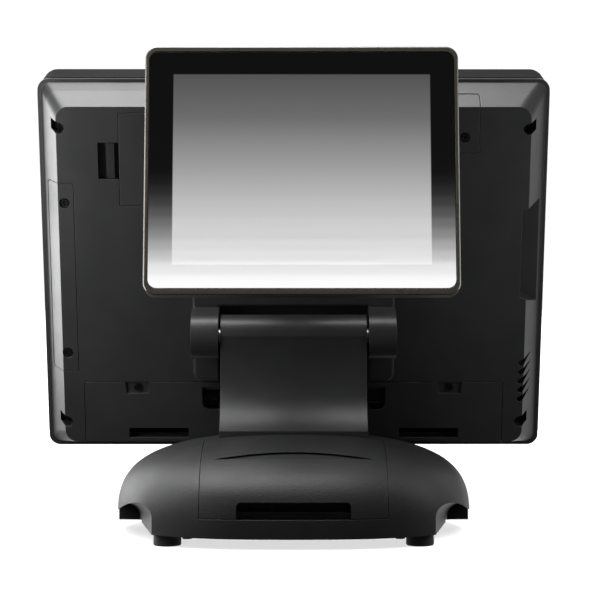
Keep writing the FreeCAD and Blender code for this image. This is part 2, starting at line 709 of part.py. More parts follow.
openings = join("cover_openings", grown)
frames = shared("cover_ledges", ledges, join("cover_ledge_frames", rings))
opened = cut("back_opened", shell, [openings])
trimmed = shared("bosses_in_back", outside, join("bosses", bosses))
back = join("back_with_bosses", [opened, frames, trimmed])
keep("rear_cover", cut("rear_cover", back, wells + ledgeHoles), "head")

# battery hatch, its latch and the pack behind it
door = block("hatch_plate", (hatchLeft, hatchRight - barrel), (backY, backY + wall), (hatchLow, hatchTop))
door = join("hatch_blank", [
    door,
    rod("hatch_barrel", "z", (hatchAxisX, hatchAxisY, hatchLow), hatchTall, barrel),
    rod("hatch_pin", "z", (hatchAxisX, hatchAxisY, hatchLow - 4.0), hatchTall + 8.0, 1.0)])
keep("battery_hatch", door, "head")
tabLeft = hatchLeft - 7.9
latch = [
    block("latch_tab", (tabLeft, tabLeft + 4.6), (backY + 0.8, backY + latchDeep - 0.4),
          (latchLow + 0.5, latchLow + latchTall - 0.5)),
    block("latch_foot", (tabLeft - 1.7, tabLeft + 6.6), (backY + latchDeep - 1.9, backY + latchDeep - 0.4),
          (latchLow - 1.2, latchLow + latchTall + 1.2))]
keep("hatch_latch", join("hatch_latch", latch), "head")
pack = block("battery_pack", (hatchLeft + 5, hatchRight - 9), (backY + 9, backY + 24.4),
    (hatchLow + 5, hatchTop - 5))
keep("battery_pack", rounded("battery_pack_round", pack, 2.5, along(V(0, 0, 1))), "head")

# power button and the small board with the two side ports
button = body("power_button")
pad(button, "button_cap", "YZ", bayIn - 3.2, bayIn + 0.9, [(buttonY, buttonZ, buttonR)])
pad(button, "button_skirt", "YZ", bayIn - 4.4, bayIn - 3.2, [(buttonY, buttonZ, buttonR + 1.2)])
ease(button, "button_edge", "Fillet", 0.4, lambda e: e.BoundBox.XMin > (bayIn + 0.8).value)
keep("power_button", button, "head")
portBoardY = backY + 12.6
sockets = [block("port_board", (bayIn - 24, bayIn - 2.4), (portBoardY, portBoardY + boardThick),
                 (portLow + 1, portCentres[1] + 12))]
for n, z in enumerate(portCentres):
    outer_box = block(f"side_socket{n}", (bayIn - 18, bayIn - 0.4), (backY + 5.4, portBoardY),
                      (z - 7.1, z + 7.1))
    hollow = block(f"side_socket_mouth{n}", (bayIn - 14, bayIn + 1), (backY + 6.0, portBoardY - 0.6),
                   (z - 6.4, z + 6.4))
    tongue = block(f"side_socket_tongue{n}", (bayIn - 14, bayIn - 2), (backY + 8.2, backY + 10.0),
                   (z - 5.5, z + 5.5))
    sockets.append(join(f"side_socket_full{n}", [cut(f"side_socket_shell{n}", outer_box, [hollow]), tongue]))
keep("side_port_module", join("side_port_module", sockets), "head")
switch = block("power_switch", (bayIn - 10.5, bayIn - 6.0), (buttonY - 3, buttonY + 3),
    (buttonZ - 4, buttonZ + 4))
keep("power_switch", switch, "head")
speaker = body("loudspeaker")
pad(speaker, "speaker_case", "XZ", backY + 8, backY + 26, [(122, 156, -66, -18, 4)])
pocket(speaker, "speaker_mouth", "XZ", backY + 8, backY + 11, [(139, -42, 13)])
pad(speaker, "speaker_cone", "XZ", backY + 10, backY + 11.5, [(139, -42, 6)])
keep("loudspeaker", speaker, "head")


# ================================================================ head: hinge cover, brackets, display arm
bossBack = backY - bossDeep
hingeCover = body("hinge_cover")
pad(hingeCover, "hinge_cover_block", "XZ", bossBack, backY, [(-knuckleOut, knuckleOut, bossLow, bossTop, 7)])
pocket(hingeCover, "neck_notch", "XZ", bossBack - 1, backY + 1, [(-knuckleIn, knuckleIn, bossLow - 5, 17.0)])
ease(hingeCover, "hinge_cover_edge", "Fillet", 2.2, at_y(bossBack))
for side in (-1, 1):
    ends = sorted([knuckleIn * side, knuckleOut * side], key=lambda number: number.value)
    pad(hingeCover, f"knuckle{side + 1}", "YZ", *ends, [(0.001, 0.001, knuckleR)])
    pad(hingeCover, f"knuckle_root{side + 1}", "YZ", *ends, [(0.001, backY, -knuckleR, knuckleR)])
for side in (-1, 1):
    ends = sorted([(knuckleIn + wall) * side, (knuckleOut - wall) * side], key=lambda number: number.value)
    pocket(hingeCover, f"hollow{side + 1}", "XZ", bossBack + wall, backY + 1,
        [(*ends, bossLow + wall, bossTop - wall)])
    pocket(hingeCover, f"knuckle_hollow{side + 1}", "YZ", *ends, [(0.001, 0.001, knuckleR - wall)])
    pocket(hingeCover, f"root_hollow{side + 1}", "YZ", *ends,
        [(0.001, backY + 1, wall - knuckleR, knuckleR - wall)])
    inner = sorted([knuckleIn * side - side, (knuckleIn + wall) * side + side],
        key=lambda number: number.value)
    pocket(hingeCover, f"shaft_hole{side + 1}", "YZ", *inner, [(0.001, 0.001, shaftR + 0.6)])
pocket(hingeCover, "bar_hollow", "XZ", bossBack + wall, backY + 1,
    [(-knuckleIn, knuckleIn, 17 + wall, bossTop - wall)])
keep("hinge_cover", hingeCover, "head")

earMid = size("ear_middle", 61.0, "steel hinge ear from the middle")
hingeHeads = []
for side, word in ((-1, "left"), (1, "right")):
    bracket = body("hinge_bracket_" + word)
    ear = sorted([(earMid - earThick / 2) * side, (earMid + earThick / 2) * side],
        key=lambda number: number.value)
    foot = sorted([(knuckleIn + wall + 0.4) * side, (knuckleOut - wall - 0.4) * side],
        key=lambda number: number.value)
    pad(bracket, f"ear_{word}", "YZ", *ear, [(0.001, 0.001, earR)])
    pad(bracket, f"ear_web_{word}", "YZ", *ear, [(0.001, backY, -earR, earR)])
    pad(bracket, f"ear_foot_{word}", "XZ", backY - 3, backY, [(*foot, -35, 35, 1.5)])
    pocket(bracket, f"ear_bore_{word}", "YZ", ear[0] - 1, ear[1] + 1, [(0.001, 0.001, shaftR + runFit)])
    for n, z in enumerate((-25.0, 27.0)):
        pocket(bracket, f"ear_bolt_{word}{n}", "XZ", backY - 4, backY + 1, [(63.0 * side, z, 2.2)])
        hingeHeads.append(screw(f"hinge_screw_{word}{n}", "y", (63.0 * side, backY + 14, z), 17, 1.95,
            2.4, 3.4, -1))
    keep("hinge_bracket_" + word, bracket, "head")
keep("hinge_screws", group("hinge_screws", hingeHeads), "head")

# the arm that carries the customer display
plateLow = dispZ - 38
plateHigh = dispZ + 38
arm = [
    block("arm_plate_blank", (-45, 45), (backY - 3, backY), (plateLow, plateHigh)),
    loft("arm_beam", [
        section("arm_root", backY - 2, -26, 26, dispZ - 22, dispZ + 22, 8),
        section("arm_waist", dispY + 24, -armHalf, armHalf, dispZ - 11, dispZ + 11, 4),
        section("arm_end", dispY + 1, -armHalf, armHalf, dispZ - armR + 0.6, dispZ + armR - 0.6, 3)]),
    rod("arm_barrel", "x", (-armHalf, dispY, dispZ), armHalf * 2, armR)]
armHoles = [rod("arm_bore", "x", (-armHalf - 1, dispY, dispZ), armHalf * 2 + 2, pinR + runFit)]
armHoles.append(rod("arm_cable_way", "y", (0, backY - 16, dispZ - 12), 20, 4.5))
mountHeads = []
for n, (x, z) in enumerate(mountBolts):
    armHoles.append(rod(f"arm_bolt_hole{n}", "y", (x, backY - 5, z), 8, 2.2))
    mountHeads.append(screw(f"mount_screw{n}", "y", (x, backY + 12, z), 15, 1.95, 2.4, 3.5, -1))
keep("display_arm", cut("display_arm", join("arm_blank", arm), armHoles), "head")
keep("display_mount_screws", group("display_mount_screws", mountHeads), "head")

# ================================================================ head: front
low = headLow - bezelOver
high = headTop + bezelOver
side = half + bezelOver
glassBack = frontY - glassThick
tapeBack = glassBack - tapeThick
lcdBack = tapeBack - lcdThick
chassisY = lcdBack - 4 - plateThick
lcdHalf = lcdWide / 2
lcdLow = headMid - lcdTall / 2
lcdHigh = headMid + lcdTall / 2
bezel = body("front_bezel")
pad(bezel, "bezel_block", "XZ", partY, frontY, [(-side, side, low, high, bezelRound)])
ease(bezel, "bezel_front_edge", "Fillet", 3.0, at_y(frontY))
pocket(bezel, "bezel_glass_seat", "XZ", tapeBack, frontY + 1, [
    (-side + bezelLip + 1, side - bezelLip - 1, low + bezelLip + 1, high - bezelLip - 1, 5)])
pocket(bezel, "bezel_inside", "XZ", partY - 1, tapeBack - 3,
    [(-side + wall, side - wall, low + wall, high - wall, 8)])
pocket(bezel, "bezel_window", "XZ", tapeBack - 4, tapeBack + 1, [
    (-lcdHalf - 0.5, lcdHalf + 0.5, lcdLow - 0.5, lcdHigh + 0.5)])
chassisPosts = [(x, z) for x in (-half + 10.5, half - 10.5) for z in (-60.0, 0.0, 75.0, 125.0)]
pad(bezel, "bezel_posts", "XZ", chassisY + plateThick, tapeBack - 2, [(x, z, 4.0) for x, z in chassisPosts])
pocket(bezel, "bezel_pilots", "XZ", chassisY + plateThick - 1, tapeBack - 4, [
    (x, z, 1.3) for x, z in chassisPosts])
keep("front_bezel", bezel, "head")
glassIn = bezelLip + 1.35
glass = slab("touch_glass", "XZ", glassBack, frontY, [
    (-side + glassIn, side - glassIn, low + glassIn, high - glassIn, 4.6)])
keep("touch_glass", glass, "head")
tape = slab("glass_tape", "XZ", tapeBack, glassBack, [
    (-side + glassIn + 0.4, side - glassIn - 0.4, low + glassIn + 0.4, high - glassIn - 0.4, 4)])
pocket(tape, "glass_tape_middle", "XZ", tapeBack - 1, glassBack + 1, [
    (-lcdHalf + 4, lcdHalf - 4, lcdLow + 4, lcdHigh - 4)])
keep("glass_tape", tape, "head")
panel = slab("lcd_panel", "XZ", lcdBack, tapeBack, [(-lcdHalf, lcdHalf, lcdLow, lcdHigh)])
pocket(panel, "lcd_frame_step", "XZ", tapeBack - 0.6, tapeBack + 1, [
    (-lcdHalf + 8, lcdHalf - 8, lcdLow + 10, lcdHigh - 10)])
keep("lcd_panel", panel, "head")

# sheet metal chassis with its posts
chassis = slab("head_chassis", "XZ", chassisY, chassisY + plateThick, [
    (-half + 6.5, half - 6.5, headLow + 8, headTop - 8, 3)])
pad(chassis, "chassis_panel_pads", "XZ", chassisY + plateThick - 0.5, lcdBack, [
    (x, z, 6.0) for x in (-150.0, 150.0) for z in (-70.0, 40.0, 150.0)])
pad(chassis, "chassis_hinge_posts", "XZ", backY + wall, chassisY + 0.5, [(x, z, 6.0) for x, z in hingeBolts])
pad(chassis, "chassis_mount_posts", "XZ", backY + wall, chassisY + 0.5, [(x, z, 5.0) for x, z in mountBolts])
pad(chassis, "chassis_case_posts", "XZ", wellFloor + 3, chassisY + 0.5, [(x, z, 4.2) for x, z in caseScrews])
boardHoles = [(x, z) for x in (-108.0, 108.0) for z in (-68.0, 68.0)]
pad(chassis, "chassis_standoffs", "XZ", boardY + boardThick, chassisY + 0.5, [
    (x, z, 3.5) for x, z in boardHoles])
pocket(chassis, "chassis_bolt_pilots", "XZ", backY + wall - 1, backY + wall + 16, [
    (x, z, 2.0) for x, z in hingeBolts + mountBolts])
pocket(chassis, "chassis_case_pilots", "XZ", wellFloor + 2, wellFloor + 14, [
    (x, z, 1.55) for x, z in caseScrews])
pocket(chassis, "chassis_board_pilots", "XZ", boardY + 1, chassisY - 0.2, [
    (x, z, 1.3) for x, z in boardHoles])
pocket(chassis, "chassis_post_holes", "XZ", chassisY - 1, chassisY + plateThick + 1, [
    (x, z, 1.7) for x, z in chassisPosts])
keep("head_chassis", chassis, "head")
frameHeads = [screw(f"frame_screw{n}", "y", (x, chassisY + 8, z), 8, 1.25, 1.5, 2.7, -1)
              for n, (x, z) in enumerate(chassisPosts)]
keep("chassis_screws", group("chassis_screws", frameHeads), "head")

# mainboard and what sits on it
board = slab("mainboard", "XZ", boardY, boardY + boardThick, [(-boardWide / 2, boardWide / 2, -75, 75, 2)])
pocket(board, "board_post_holes", "XZ", boardY - 1, boardY + boardThick + 1, [
    (x, z, 7.0) for x, z in hingeBolts])
pocket(board, "board_screw_holes", "XZ", boardY - 1, boardY + boardThick + 1, [
    (x, z, 1.7) for x, z in boardHoles])
keep("mainboard", board, "head")
boardHeads = [screw(f"board_screw{n}", "y", (x, boardY + 7, z), 7, 1.25, 1.5, 2.6, -1)
              for n, (x, z) in enumerate(boardHoles)]
keep("board_screws", group("board_screws", boardHeads), "head")
chip = block("processor_base", (-22, 16), (boardY - 1.2, boardY), (14, 52))
die = block("processor_cap", (-15, 9), (boardY - 3.2, boardY - 1.2), (21, 45))
keep("processor", join("processor", [chip, die]), "head")
sink = slab("heat_sink", "XZ", boardY - 7.2, boardY - 3.2, [(-45, 39, -12, 72)])
pad(sink, "sink_fins", "XZ", boardY - 23, boardY - 7.2, [
    (-45 + 7.5 * n, -43 + 7.5 * n, -12, 72) for n in range(12)])
keep("heat_sink", sink, "head")
dimm = [
    block("memory_socket", (-38, 36), (boardY - 4.2, boardY), (-66, -60)),
    block("memory_card", (-34, 33.6), (boardY - 3.4, boardY - 2.4), (-60, -33)),
    block("memory_chips", (-29, 28.6), (boardY - 4.4, boardY - 1.2), (-54, -40))]
keep("memory_module", join("memory_module", dimm), "head")
drive = [
    block("drive_socket", (82, 106), (boardY - 4.2, boardY), (56, 64)),
    block("drive_card", (83, 105), (boardY - 3.2, boardY - 2.2), (-22, 56)),
    block("drive_chips", (85, 103), (boardY - 4.4, boardY - 2.2), (-14, 44))]
keep("solid_state_drive", join("solid_state_drive", drive), "head")
jacks = []
jackX = -96.0
for n, (wide, deep) in enumerate(((16, 13.5), (15, 7), (15, 7), (31, 12.5), (31, 12.5), (16, 13.5), (9, 11))):
    outer = block(f"jack{n}", (jackX, jackX + wide), (boardY - deep, boardY),
        (-79, -69 if wide == 9 else -66))
    mouth = block(f"jack_mouth{n}", (jackX + 1.5, jackX + wide - 1.5),
        (boardY - deep + 1.5, boardY - 1.5), (-80, -72))
    jacks.append(cut(f"jack_shell{n}", outer, [mouth]))
    jackX += wide + 8
keep("rear_connectors", group("rear_connectors", jacks), "head")


# ================================================================ customer display, in its own frame
faceY = -dispReach
frameBack = faceY + dispFrame
dHalf = dispWide / 2
dTall = dispTall / 2
bezel2 = body("display_bezel")
pad(bezel2, "display_block", "XZ", faceY, frameBack, [(-dHalf, dHalf, -dTall, dTall, dispRound)])
ease(bezel2, "display_front_edge", "Chamfer", 0.8, at_y(faceY))
gl = (-dHalf + dispLip, dHalf - dispLip, -dTall + dispChin, dTall - dispLip - 0.8)
pocket(bezel2, "display_glass_seat", "XZ", faceY - 1, faceY + dispGlass + 0.3, [(*gl, dispRound - 2)])
pocket(bezel2, "display_inside", "XZ", faceY + dispGlass + 2.6, frameBack + 1, [
    (-dHalf + dispWall, dHalf - dispWall, -dTall + dispWall, dTall - dispWall, dispRound - 2)])
pocket(bezel2, "display_window", "XZ", faceY, faceY + 6, [(-89, 89, -67, 68)])
keep("display_bezel", bezel2, "display")
gl = (-dHalf + dispLip + 0.15, dHalf - dispLip - 0.15, -dTall + dispChin + 0.15, dTall - dispLip - 0.95)
glass2 = slab("display_glass", "XZ", faceY + 0.3, faceY + dispGlass + 0.3, [(*gl, dispRound - 2.1)])
ease(glass2, "display_glass_edge", "Fillet", 0.4, at_y(faceY + 0.3))
keep("display_glass", glass2, "display")
panelY = faceY + dispGlass + 0.3
lcd2 = slab("display_lcd", "XZ", panelY, panelY + 6.5, [(-88.5, 88.5, -66.5, 67.5)])
keep("display_lcd", lcd2, "display")
shellSections = (0.7, 4.0, 16.0)


def housing(name, inset, levels):
    made = []
    for n, level in enumerate(levels):
        back_in = shellSections[n] + inset
        made.append(section(f"{name}{n}", level, -dHalf + back_in, dHalf - back_in, -dTall + back_in,
            dTall - back_in,
                            dispRound + (0 if n < 2 else 2)))
    return loft(name, made)


houseBack = frameBack + dispBack
outerHouse = housing("housing_outside", 0, (frameBack, frameBack + 5, houseBack))
innerHouse = housing("housing_inside", dispWall, (frameBack - 1, frameBack + 5 - 1, houseBack - dispWall))
houseHoles = [rod("display_cable_exit", "y", (-dispX, houseBack - 5, -18), 8, 3.5)]
displayBolts = [(x, z) for x in (-22.0, 22.0) for z in (-20.0, 20.0)]
postBlocks = []
for n, (x, z) in enumerate(displayBolts):
    postBlocks.append(rod(f"house_post{n}", "y", (x - dispX, houseBack - 8, z), 7, 3.6))
    houseHoles.append(rod(f"house_hole{n}", "y", (x - dispX, houseBack - 9, z), 12, 1.4))
caseBolts2 = [(x, z) for x in (-84.0, 84.0) for z in (-63.0, 63.0)]
for n, (x, z) in enumerate(caseBolts2):
    postBlocks.append(rod(f"house_boss{n}", "y", (x, frameBack, z), 11, 4.5))
    houseHoles.append(rod(f"house_well{n}", "y", (x, frameBack + 5, z), 20, 3.0))
    houseHoles.append(rod(f"house_bore{n}", "y", (x, frameBack - 1, z), 20, 1.4))
housed = shared("housing_posts", outerHouse, join("housing_post_set", postBlocks))
keep("display_housing", cut("display_housing", join("housing_blank", [
    cut("housing_shell", outerHouse, [innerHouse]), housed]), houseHoles), "display")
closers = []
for n, (x, z) in enumerate(caseBolts2):
    closers.append(screw(f"display_screw{n}", "y", (x, frameBack - 3, z), 8, 1.25, 1.5, 2.5, 1))
keep("display_screws", group("display_screws", closers), "display")
card = slab("display_board", "XZ", panelY + 9.5, panelY + 11.1, [(-60, 60, -45, 45, 2)])
pad(card, "display_board_pads", "XZ", panelY + 6.5, panelY + 9.6, [
    (x, z, 3.0) for x in (-50.0, 50.0) for z in (-38.0, 38.0)])
pad(card, "display_board_parts", "XZ", panelY + 11.0, panelY + 14.5,
    [(-40, -20, -10, 10), (5, 35, 10, 22), (-14, 14, -42, -34)])
keep("display_board", card, "display")
forkIn = armHalf + 0.4
forkOut = forkIn + 5
bracketY = houseBack
fork = body("display_bracket")
pad(fork, "bracket_plate", "XZ", bracketY, bracketY + 2.6, [(-30, 30, -25, 25, 4)])
for way in (-1, 1):
    ends = sorted([forkIn * way, forkOut * way], key=lambda number: number.value)
    pad(fork, f"fork{way + 1}", "YZ", *ends, [(0.001, 0.001, armR)])
    pad(fork, f"fork_web{way + 1}", "YZ", *ends, [(bracketY + 1, 0.001, -armR, armR)])
pocket(fork, "fork_bore", "YZ", -forkOut - 1, forkOut + 1, [(0.001, 0.001, pinR)])
pocket(fork, "bracket_holes", "XZ", bracketY - 1, bracketY + 4, [(x, z, 1.7) for x, z in displayBolts])
pocket(fork, "bracket_cable", "XZ", bracketY - 1, bracketY + 4, [(0.001, -18, 3.5)])
keep("display_bracket", fork, "display_mount")
keep("display_hinge_pin", rod("display_hinge_pin", "x", (-forkOut - 1.2, 0, 0), forkOut * 2 + 2.4, pinR),
    "display_mount")
holders = [screw(f"bracket_screw{n}", "y", (x, houseBack - 6, z), 8.6, 1.25, 1.5, 2.6, 1)
           for n, (x, z) in enumerate(displayBolts)]
keep("display_bracket_screws", group("display_bracket_screws", holders), "display_mount")


# ================================================================ stand: neck
splitAt = 0.45
rearCurve = [(-15.0, 0.0), (-12.5, -12.0), (-12.0, -25.0), (-15.0, -40.0), (-24.0, -54.0), (-38.0, -65.5)]
frontCurve = [(15.0, 0.0), (16.0, -15.5), (18.0, -32.5), (21.0, -49.5), (25.0, -65.5), (31.0, -79.5)]
footDrop = -84.0


def inYZ(point):
    return V(0, axisY.value + point[0], axisZ.value + point[1])


def spline(points):
    curve = Part.BSplineCurve()
    curve.interpolate([inYZ(point) for point in points])
    return curve.toShape()


def line(start, end):
    return Part.makeLine(inYZ(start), inYZ(end))


def moved(points, shift, way):
    """The points of a curve moved square to it by shift; way is the sign that points off the neck."""
    made = []
    for n, (y, z) in enumerate(points):
        before = points[max(n - 1, 0)]
        after = points[min(n + 1, len(points) - 1)]
        stepY = after[0] - before[0]
        stepZ = after[1] - before[1]
        long = math.hypot(stepY, stepZ)
        if n == 0:
            made.append((y + way * shift, z))
        else:
            made.append((y - way * shift * stepZ / long, z + way * shift * stepY / long))
    return made


def neckFace(shift):
    """The neck's side profile, grown by shift."""
    rear = moved(rearCurve, shift, -1)
    front = moved(frontCurve, shift, 1)
    rearFoot = (rear[-1][0], footDrop)
    frontFoot = (front[-1][0], footDrop)
    crest = Part.Arc(inYZ(front[0]), inYZ((0, barrelR.value + shift)), inYZ(rear[0])).toShape()
    edges = [spline(rear), line(rear[-1], rearFoot), line(rearFoot, frontFoot), line(frontFoot, front[-1]),
             spline(front), crest]
    return Part.Face(Part.Wire(Part.__sortEdges__(edges)))


def neckBlock(name, shift, halfWide):
    halfWide = as_size(halfWide).value
    face = neckFace(shift)
    face.translate(V(-halfWide, 0, 0))
    return fixed(name, face.extrude(V(2 * halfWide, 0, 0)))


middle = [(r[0] * (1 - splitAt) + f[0] * splitAt, r[1] * (1 - splitAt) + f[1] * splitAt)
          for r, f in zip(rearCurve, frontCurve)]


def rearHalf(name, shift):
    """Everything behind the seam between the two neck shells, for a shell on the customer's side."""
    seam = [(y + shift, z) for y, z in middle]
    top = (seam[0][0], 30.0)
    foot = (seam[-1][0], footDrop - 5)
    edges = [line((-60.0, 30.0), top), line(top, seam[0]), spline(seam), line(seam[-1], foot),
             line(foot, (-60.0, footDrop - 5)), line((-60.0, footDrop - 5), (-60.0, 30.0))]
    face = Part.Face(Part.Wire(Part.__sortEdges__(edges)))
    face.translate(V(-80, 0, 0))
    return fixed(name, face.extrude(V(160, 0, 0)))


neckSolid = neckBlock("neck_solid", 0, neckHalf)
neckInside = neckBlock("neck_inside", -2.5, neckHalf - wall)
shaftHole = rod("neck_shaft_hole", "x", (-60, axisY, axisZ), 120, shaftR + 0.5)
neckOpen = block("neck_open_foot", (wall - neckHalf, neckHalf - wall), (axisY - 35, axisY + 28),
                 (axisZ + footDrop - 5, axisZ + footDrop + 6))
cableWay = block("neck_cable_way", (-9, 9), (axisY + 10, axisY + 30), (axisZ - 14, axisZ - 4))
sleeve = cut("neck_sleeve", neckSolid, [neckInside, shaftHole, neckOpen, cableWay])
keep("neck_rear_shell", shared("neck_rear_shell", sleeve, rearHalf("seam_rear", 0)))
keep("neck_front_shell", cut("neck_front_shell", sleeve, [rearHalf("seam_front", 0.3)]))

plateTop = baseLow + 2
ballastTop = plateTop + 4
ribs = cut("neck_ribs", shared("neck_rib_blank", neckBlock("neck_rib_profile", -3.2, frameHalf), block(
    "neck_rib_extent", (-frameHalf, frameHalf), (axisY - 35, axisY + 30), (axisZ - 70, axisZ + 20))), [
    block("neck_rib_middle", (-28, 28), (axisY - 50, axisY + 50), (axisZ - 90, axisZ + 30))])
spine = shared("neck_spine", neckBlock("neck_spine_profile", -6.5, 30), block(
    "neck_spine_extent", (-30, 30), (axisY - 35, axisY + 5), (axisZ - 64, axisZ + 20)))
casting = [ribs, spine, rod("neck_hub", "x", (-frameHalf, axisY, axisZ), frameHalf * 2, hubR)]
for side in (-1, 1):
    ends = sorted([28 * side, frameHalf * side], key=lambda number: as_size(number).value)
    casting.append(block(f"neck_leg{side + 1}", ends, (axisY - 24, axisY + 18), (ballastTop, axisZ - 60)))
casting.append(block("neck_foot", (-48, 48), (axisY - 40, axisY + 42), (ballastTop, ballastTop + 6)))
footBolts = [(x, y) for x in (-42.0, 42.0) for y in (-24.0, 46.0)]
castHoles = [rod("hub_bore", "x", (-frameHalf - 1, axisY, axisZ), frameHalf * 2 + 2, shaftR),
             block("hub_cable_way", (-10, 10), (axisY - 4, axisY + 30), (axisZ - 8, axisZ + 9))]
for n, (x, y) in enumerate(footBolts):
    castHoles.append(rod(f"foot_bolt_hole{n}", "z", (x, y, baseLow), 20, 2.6))
keep("neck_frame", cut("neck_frame", join("neck_casting", casting), castHoles))
for side, word in ((-1, "left"), (1, "right")):
    ends = sorted([18 * side, (knuckleOut - wall - 1.2) * side], key=lambda number: as_size(number).value)
    shaft = rod("tilt_shaft_blank_" + word, "x", (ends[0], axisY, axisZ), ends[1] - ends[0], shaftR)
    spots = sorted([(frameHalf + 0.001) * side, (frameHalf + 2.6) * side],
        key=lambda number: as_size(number).value)
    collar = rod("tilt_collar_" + word, "x", (spots[0], axisY, axisZ), spots[1] - spots[0], shaftR + 2.5)
    keep("tilt_shaft_" + word, join("tilt_shaft_" + word, [shaft, collar]))


# ================================================================ stand: base
squareness = 2.6
shoulder = 3.5
crown = 2.3
frontCrown = 1.5
frontShoulder = 1.6


def ovalWire(halfX, back, front, level):
    """A level outline of the base: fuller than an ellipse, deeper at the front than at the back."""
    points = []
    count = 28
    for n in range(count):
        angle = 2 * math.pi * n / count
        c = math.cos(angle)
        s = math.sin(angle)
        x = halfX * math.copysign(abs(c) ** (2 / squareness), c)
        y = (front if s > 0 else back) * math.copysign(abs(s) ** (2 / squareness), s)
        points.append(V(x, baseMid.value + y, level))
    curve = Part.BSplineCurve()
    curve.interpolate(Points=points, Parameters=[n / count for n in range(count + 1)], PeriodicFlag=True)
    return Part.Wire(curve.toShape())


def dome(name, shrink, top=None):
    """The base's outer form, drawn in by shrink all round."""
    tall = domeTall.value - shrink
    wires = []
    for n in range(12):
        rise = min(math.sin(math.pi / 2 * n / 11), 0.9992)
        wide = (1 - rise ** shoulder) ** (1 / crown)
        deep = (1 - rise ** frontShoulder) ** (1 / frontCrown)
        level = baseLow.value + tall * rise
        wires.append(ovalWire((baseHalf.value - shrink) * wide, (baseBack.value - shrink) * wide,
                              (baseFront.value - shrink) * deep, level))
    return fixed(name, Part.makeLoft(wires, True, False))


domeOut = dome("dome_outside", 0)
domeIn = dome("dome_inside", domeWall.value)
scoopWide = size("scoop_half", 9.8, "half the width of the tunnel under each wing")
scoopTall = size("scoop_tall", 19.5, "tunnel's crown above the base's lower edge")
scoopLong = size("scoop_long", 75.0, "tunnel's length from its mouth")


def tunnel(name, side, grow):
    """The arched tunnel under a wing, open at the back, whose crown comes down towards the front."""
    r = scoopWide.value + grow
    spring = scoopTall.value + grow - r
    left = V(-r, -40, spring)
    right = V(r, -40, spring)
    edges = [Part.Arc(left, V(0, -40, spring + r), right).toShape(), Part.makeLine(right, V(r, -40, -16)),
             Part.makeLine(V(r, -40, -16), V(-r, -40, -16)), Part.makeLine(V(-r, -40, -16), left)]
    whole = Part.Face(Part.Wire(edges)).extrude(V(0, 40 + scoopLong.value + grow, 0))
    whole.rotate(V(), V(1, 0, 0), -6)
    whole.rotate(V(), V(0, 0, 1), -9.1 * side)
    whole.translate(V(106.2 * side, -80, baseLow.value))
    return fixed(name, whole)


def skirt(name, side):
    """What is taken off the wing's outer edge, so that it ends higher than the rest of the base."""
    ends = sorted([106.2 * side, 130 * side])
    return prism(name, "x", *ends, [(-130, baseLow - 3), (-130, wingLow), (-24, wingLow), (4, baseLow - 3)])


wingLow = size("wing_low", 16.2, "outer edge of each wing above the table")
scoopTools = [tunnel("scoop_left", -1, 0), tunnel("scoop_right", 1, 0)]
skirts = [skirt("skirt_left", -1), skirt("skirt_right", 1)]
scoopWalls = [tunnel("scoop_wall_left", -1, 2.2), tunnel("scoop_wall_right", 1, 2.2)]
coverEnd = axisY + rearCurve[-1][0] - 0.4
neckRoom = neckBlock("neck_room", 0.4, neckHalf + 0.4)
coverRoom = block("base_cover_room", (-coverHalf - gap, coverHalf + gap), (-130, coverEnd + gap),
    (coverLow - gap, 90))
domeShell = cut("dome_shell", domeOut, [domeIn])
coverBlank = shared("base_cover_blank", domeShell, block(
    "base_cover_extent", (-coverHalf, coverHalf), (-130, coverEnd), (coverLow, 90)))
brow = size("brow_half", 53.5, "half the width of the finger groove")


def crescent():
    """The finger groove's outline, drawn along y."""
    left = V(-brow.value, -130, 57.2)
    right = V(brow.value, -130, 57.2)
    upper = Part.Arc(left, V(0, -130, 61.7), right).toShape()
    lower = Part.Arc(right, V(0, -130, 58.1), left).toShape()
    return fixed("groove_outline", Part.Face(Part.Wire([upper, lower])).extrude(V(0, 90, 0)))


groove = cut("finger_groove", crescent(), [dome("groove_bottom", 1.3)])
slotBlank = block("base_slot_blank", (-slotHalf, slotHalf), (-130, -95), (coverLow - 5, slotTop))
slot = rounded("base_slot", slotBlank, 3.0, lambda e: along(V(0, 1, 0))(e) and e.BoundBox.ZMin > 25)
keep("base_rear_cover", cut("base_rear_cover", coverBlank, [groove, slot]))

postSpots = [(x * side, y) for side in (-1, 1) for x, y in ((109.0, 15.0), (62.0, 64.0), (70.0, -100.0))]
lining = shared("scoop_lining", domeOut, join("scoop_walls", scoopWalls))
posts = shared("dome_posts", domeOut, join("dome_post_set", [
    rod(f"dome_post{n}", "z", (x, y, plateTop), 70, 4.0) for n, (x, y) in enumerate(postSpots)]))
domeWhole = cut("dome_opened", domeShell, [coverRoom])
domeTools = scoopTools + skirts + [neckRoom]
for n, (x, y) in enumerate(postSpots):
    domeTools.append(rod(f"dome_pilot{n}", "z", (x, y, plateTop - 1), 13, 1.5))
keep("base_dome", cut("base_dome", join("dome_blank", [domeWhole, lining, posts]), domeTools))

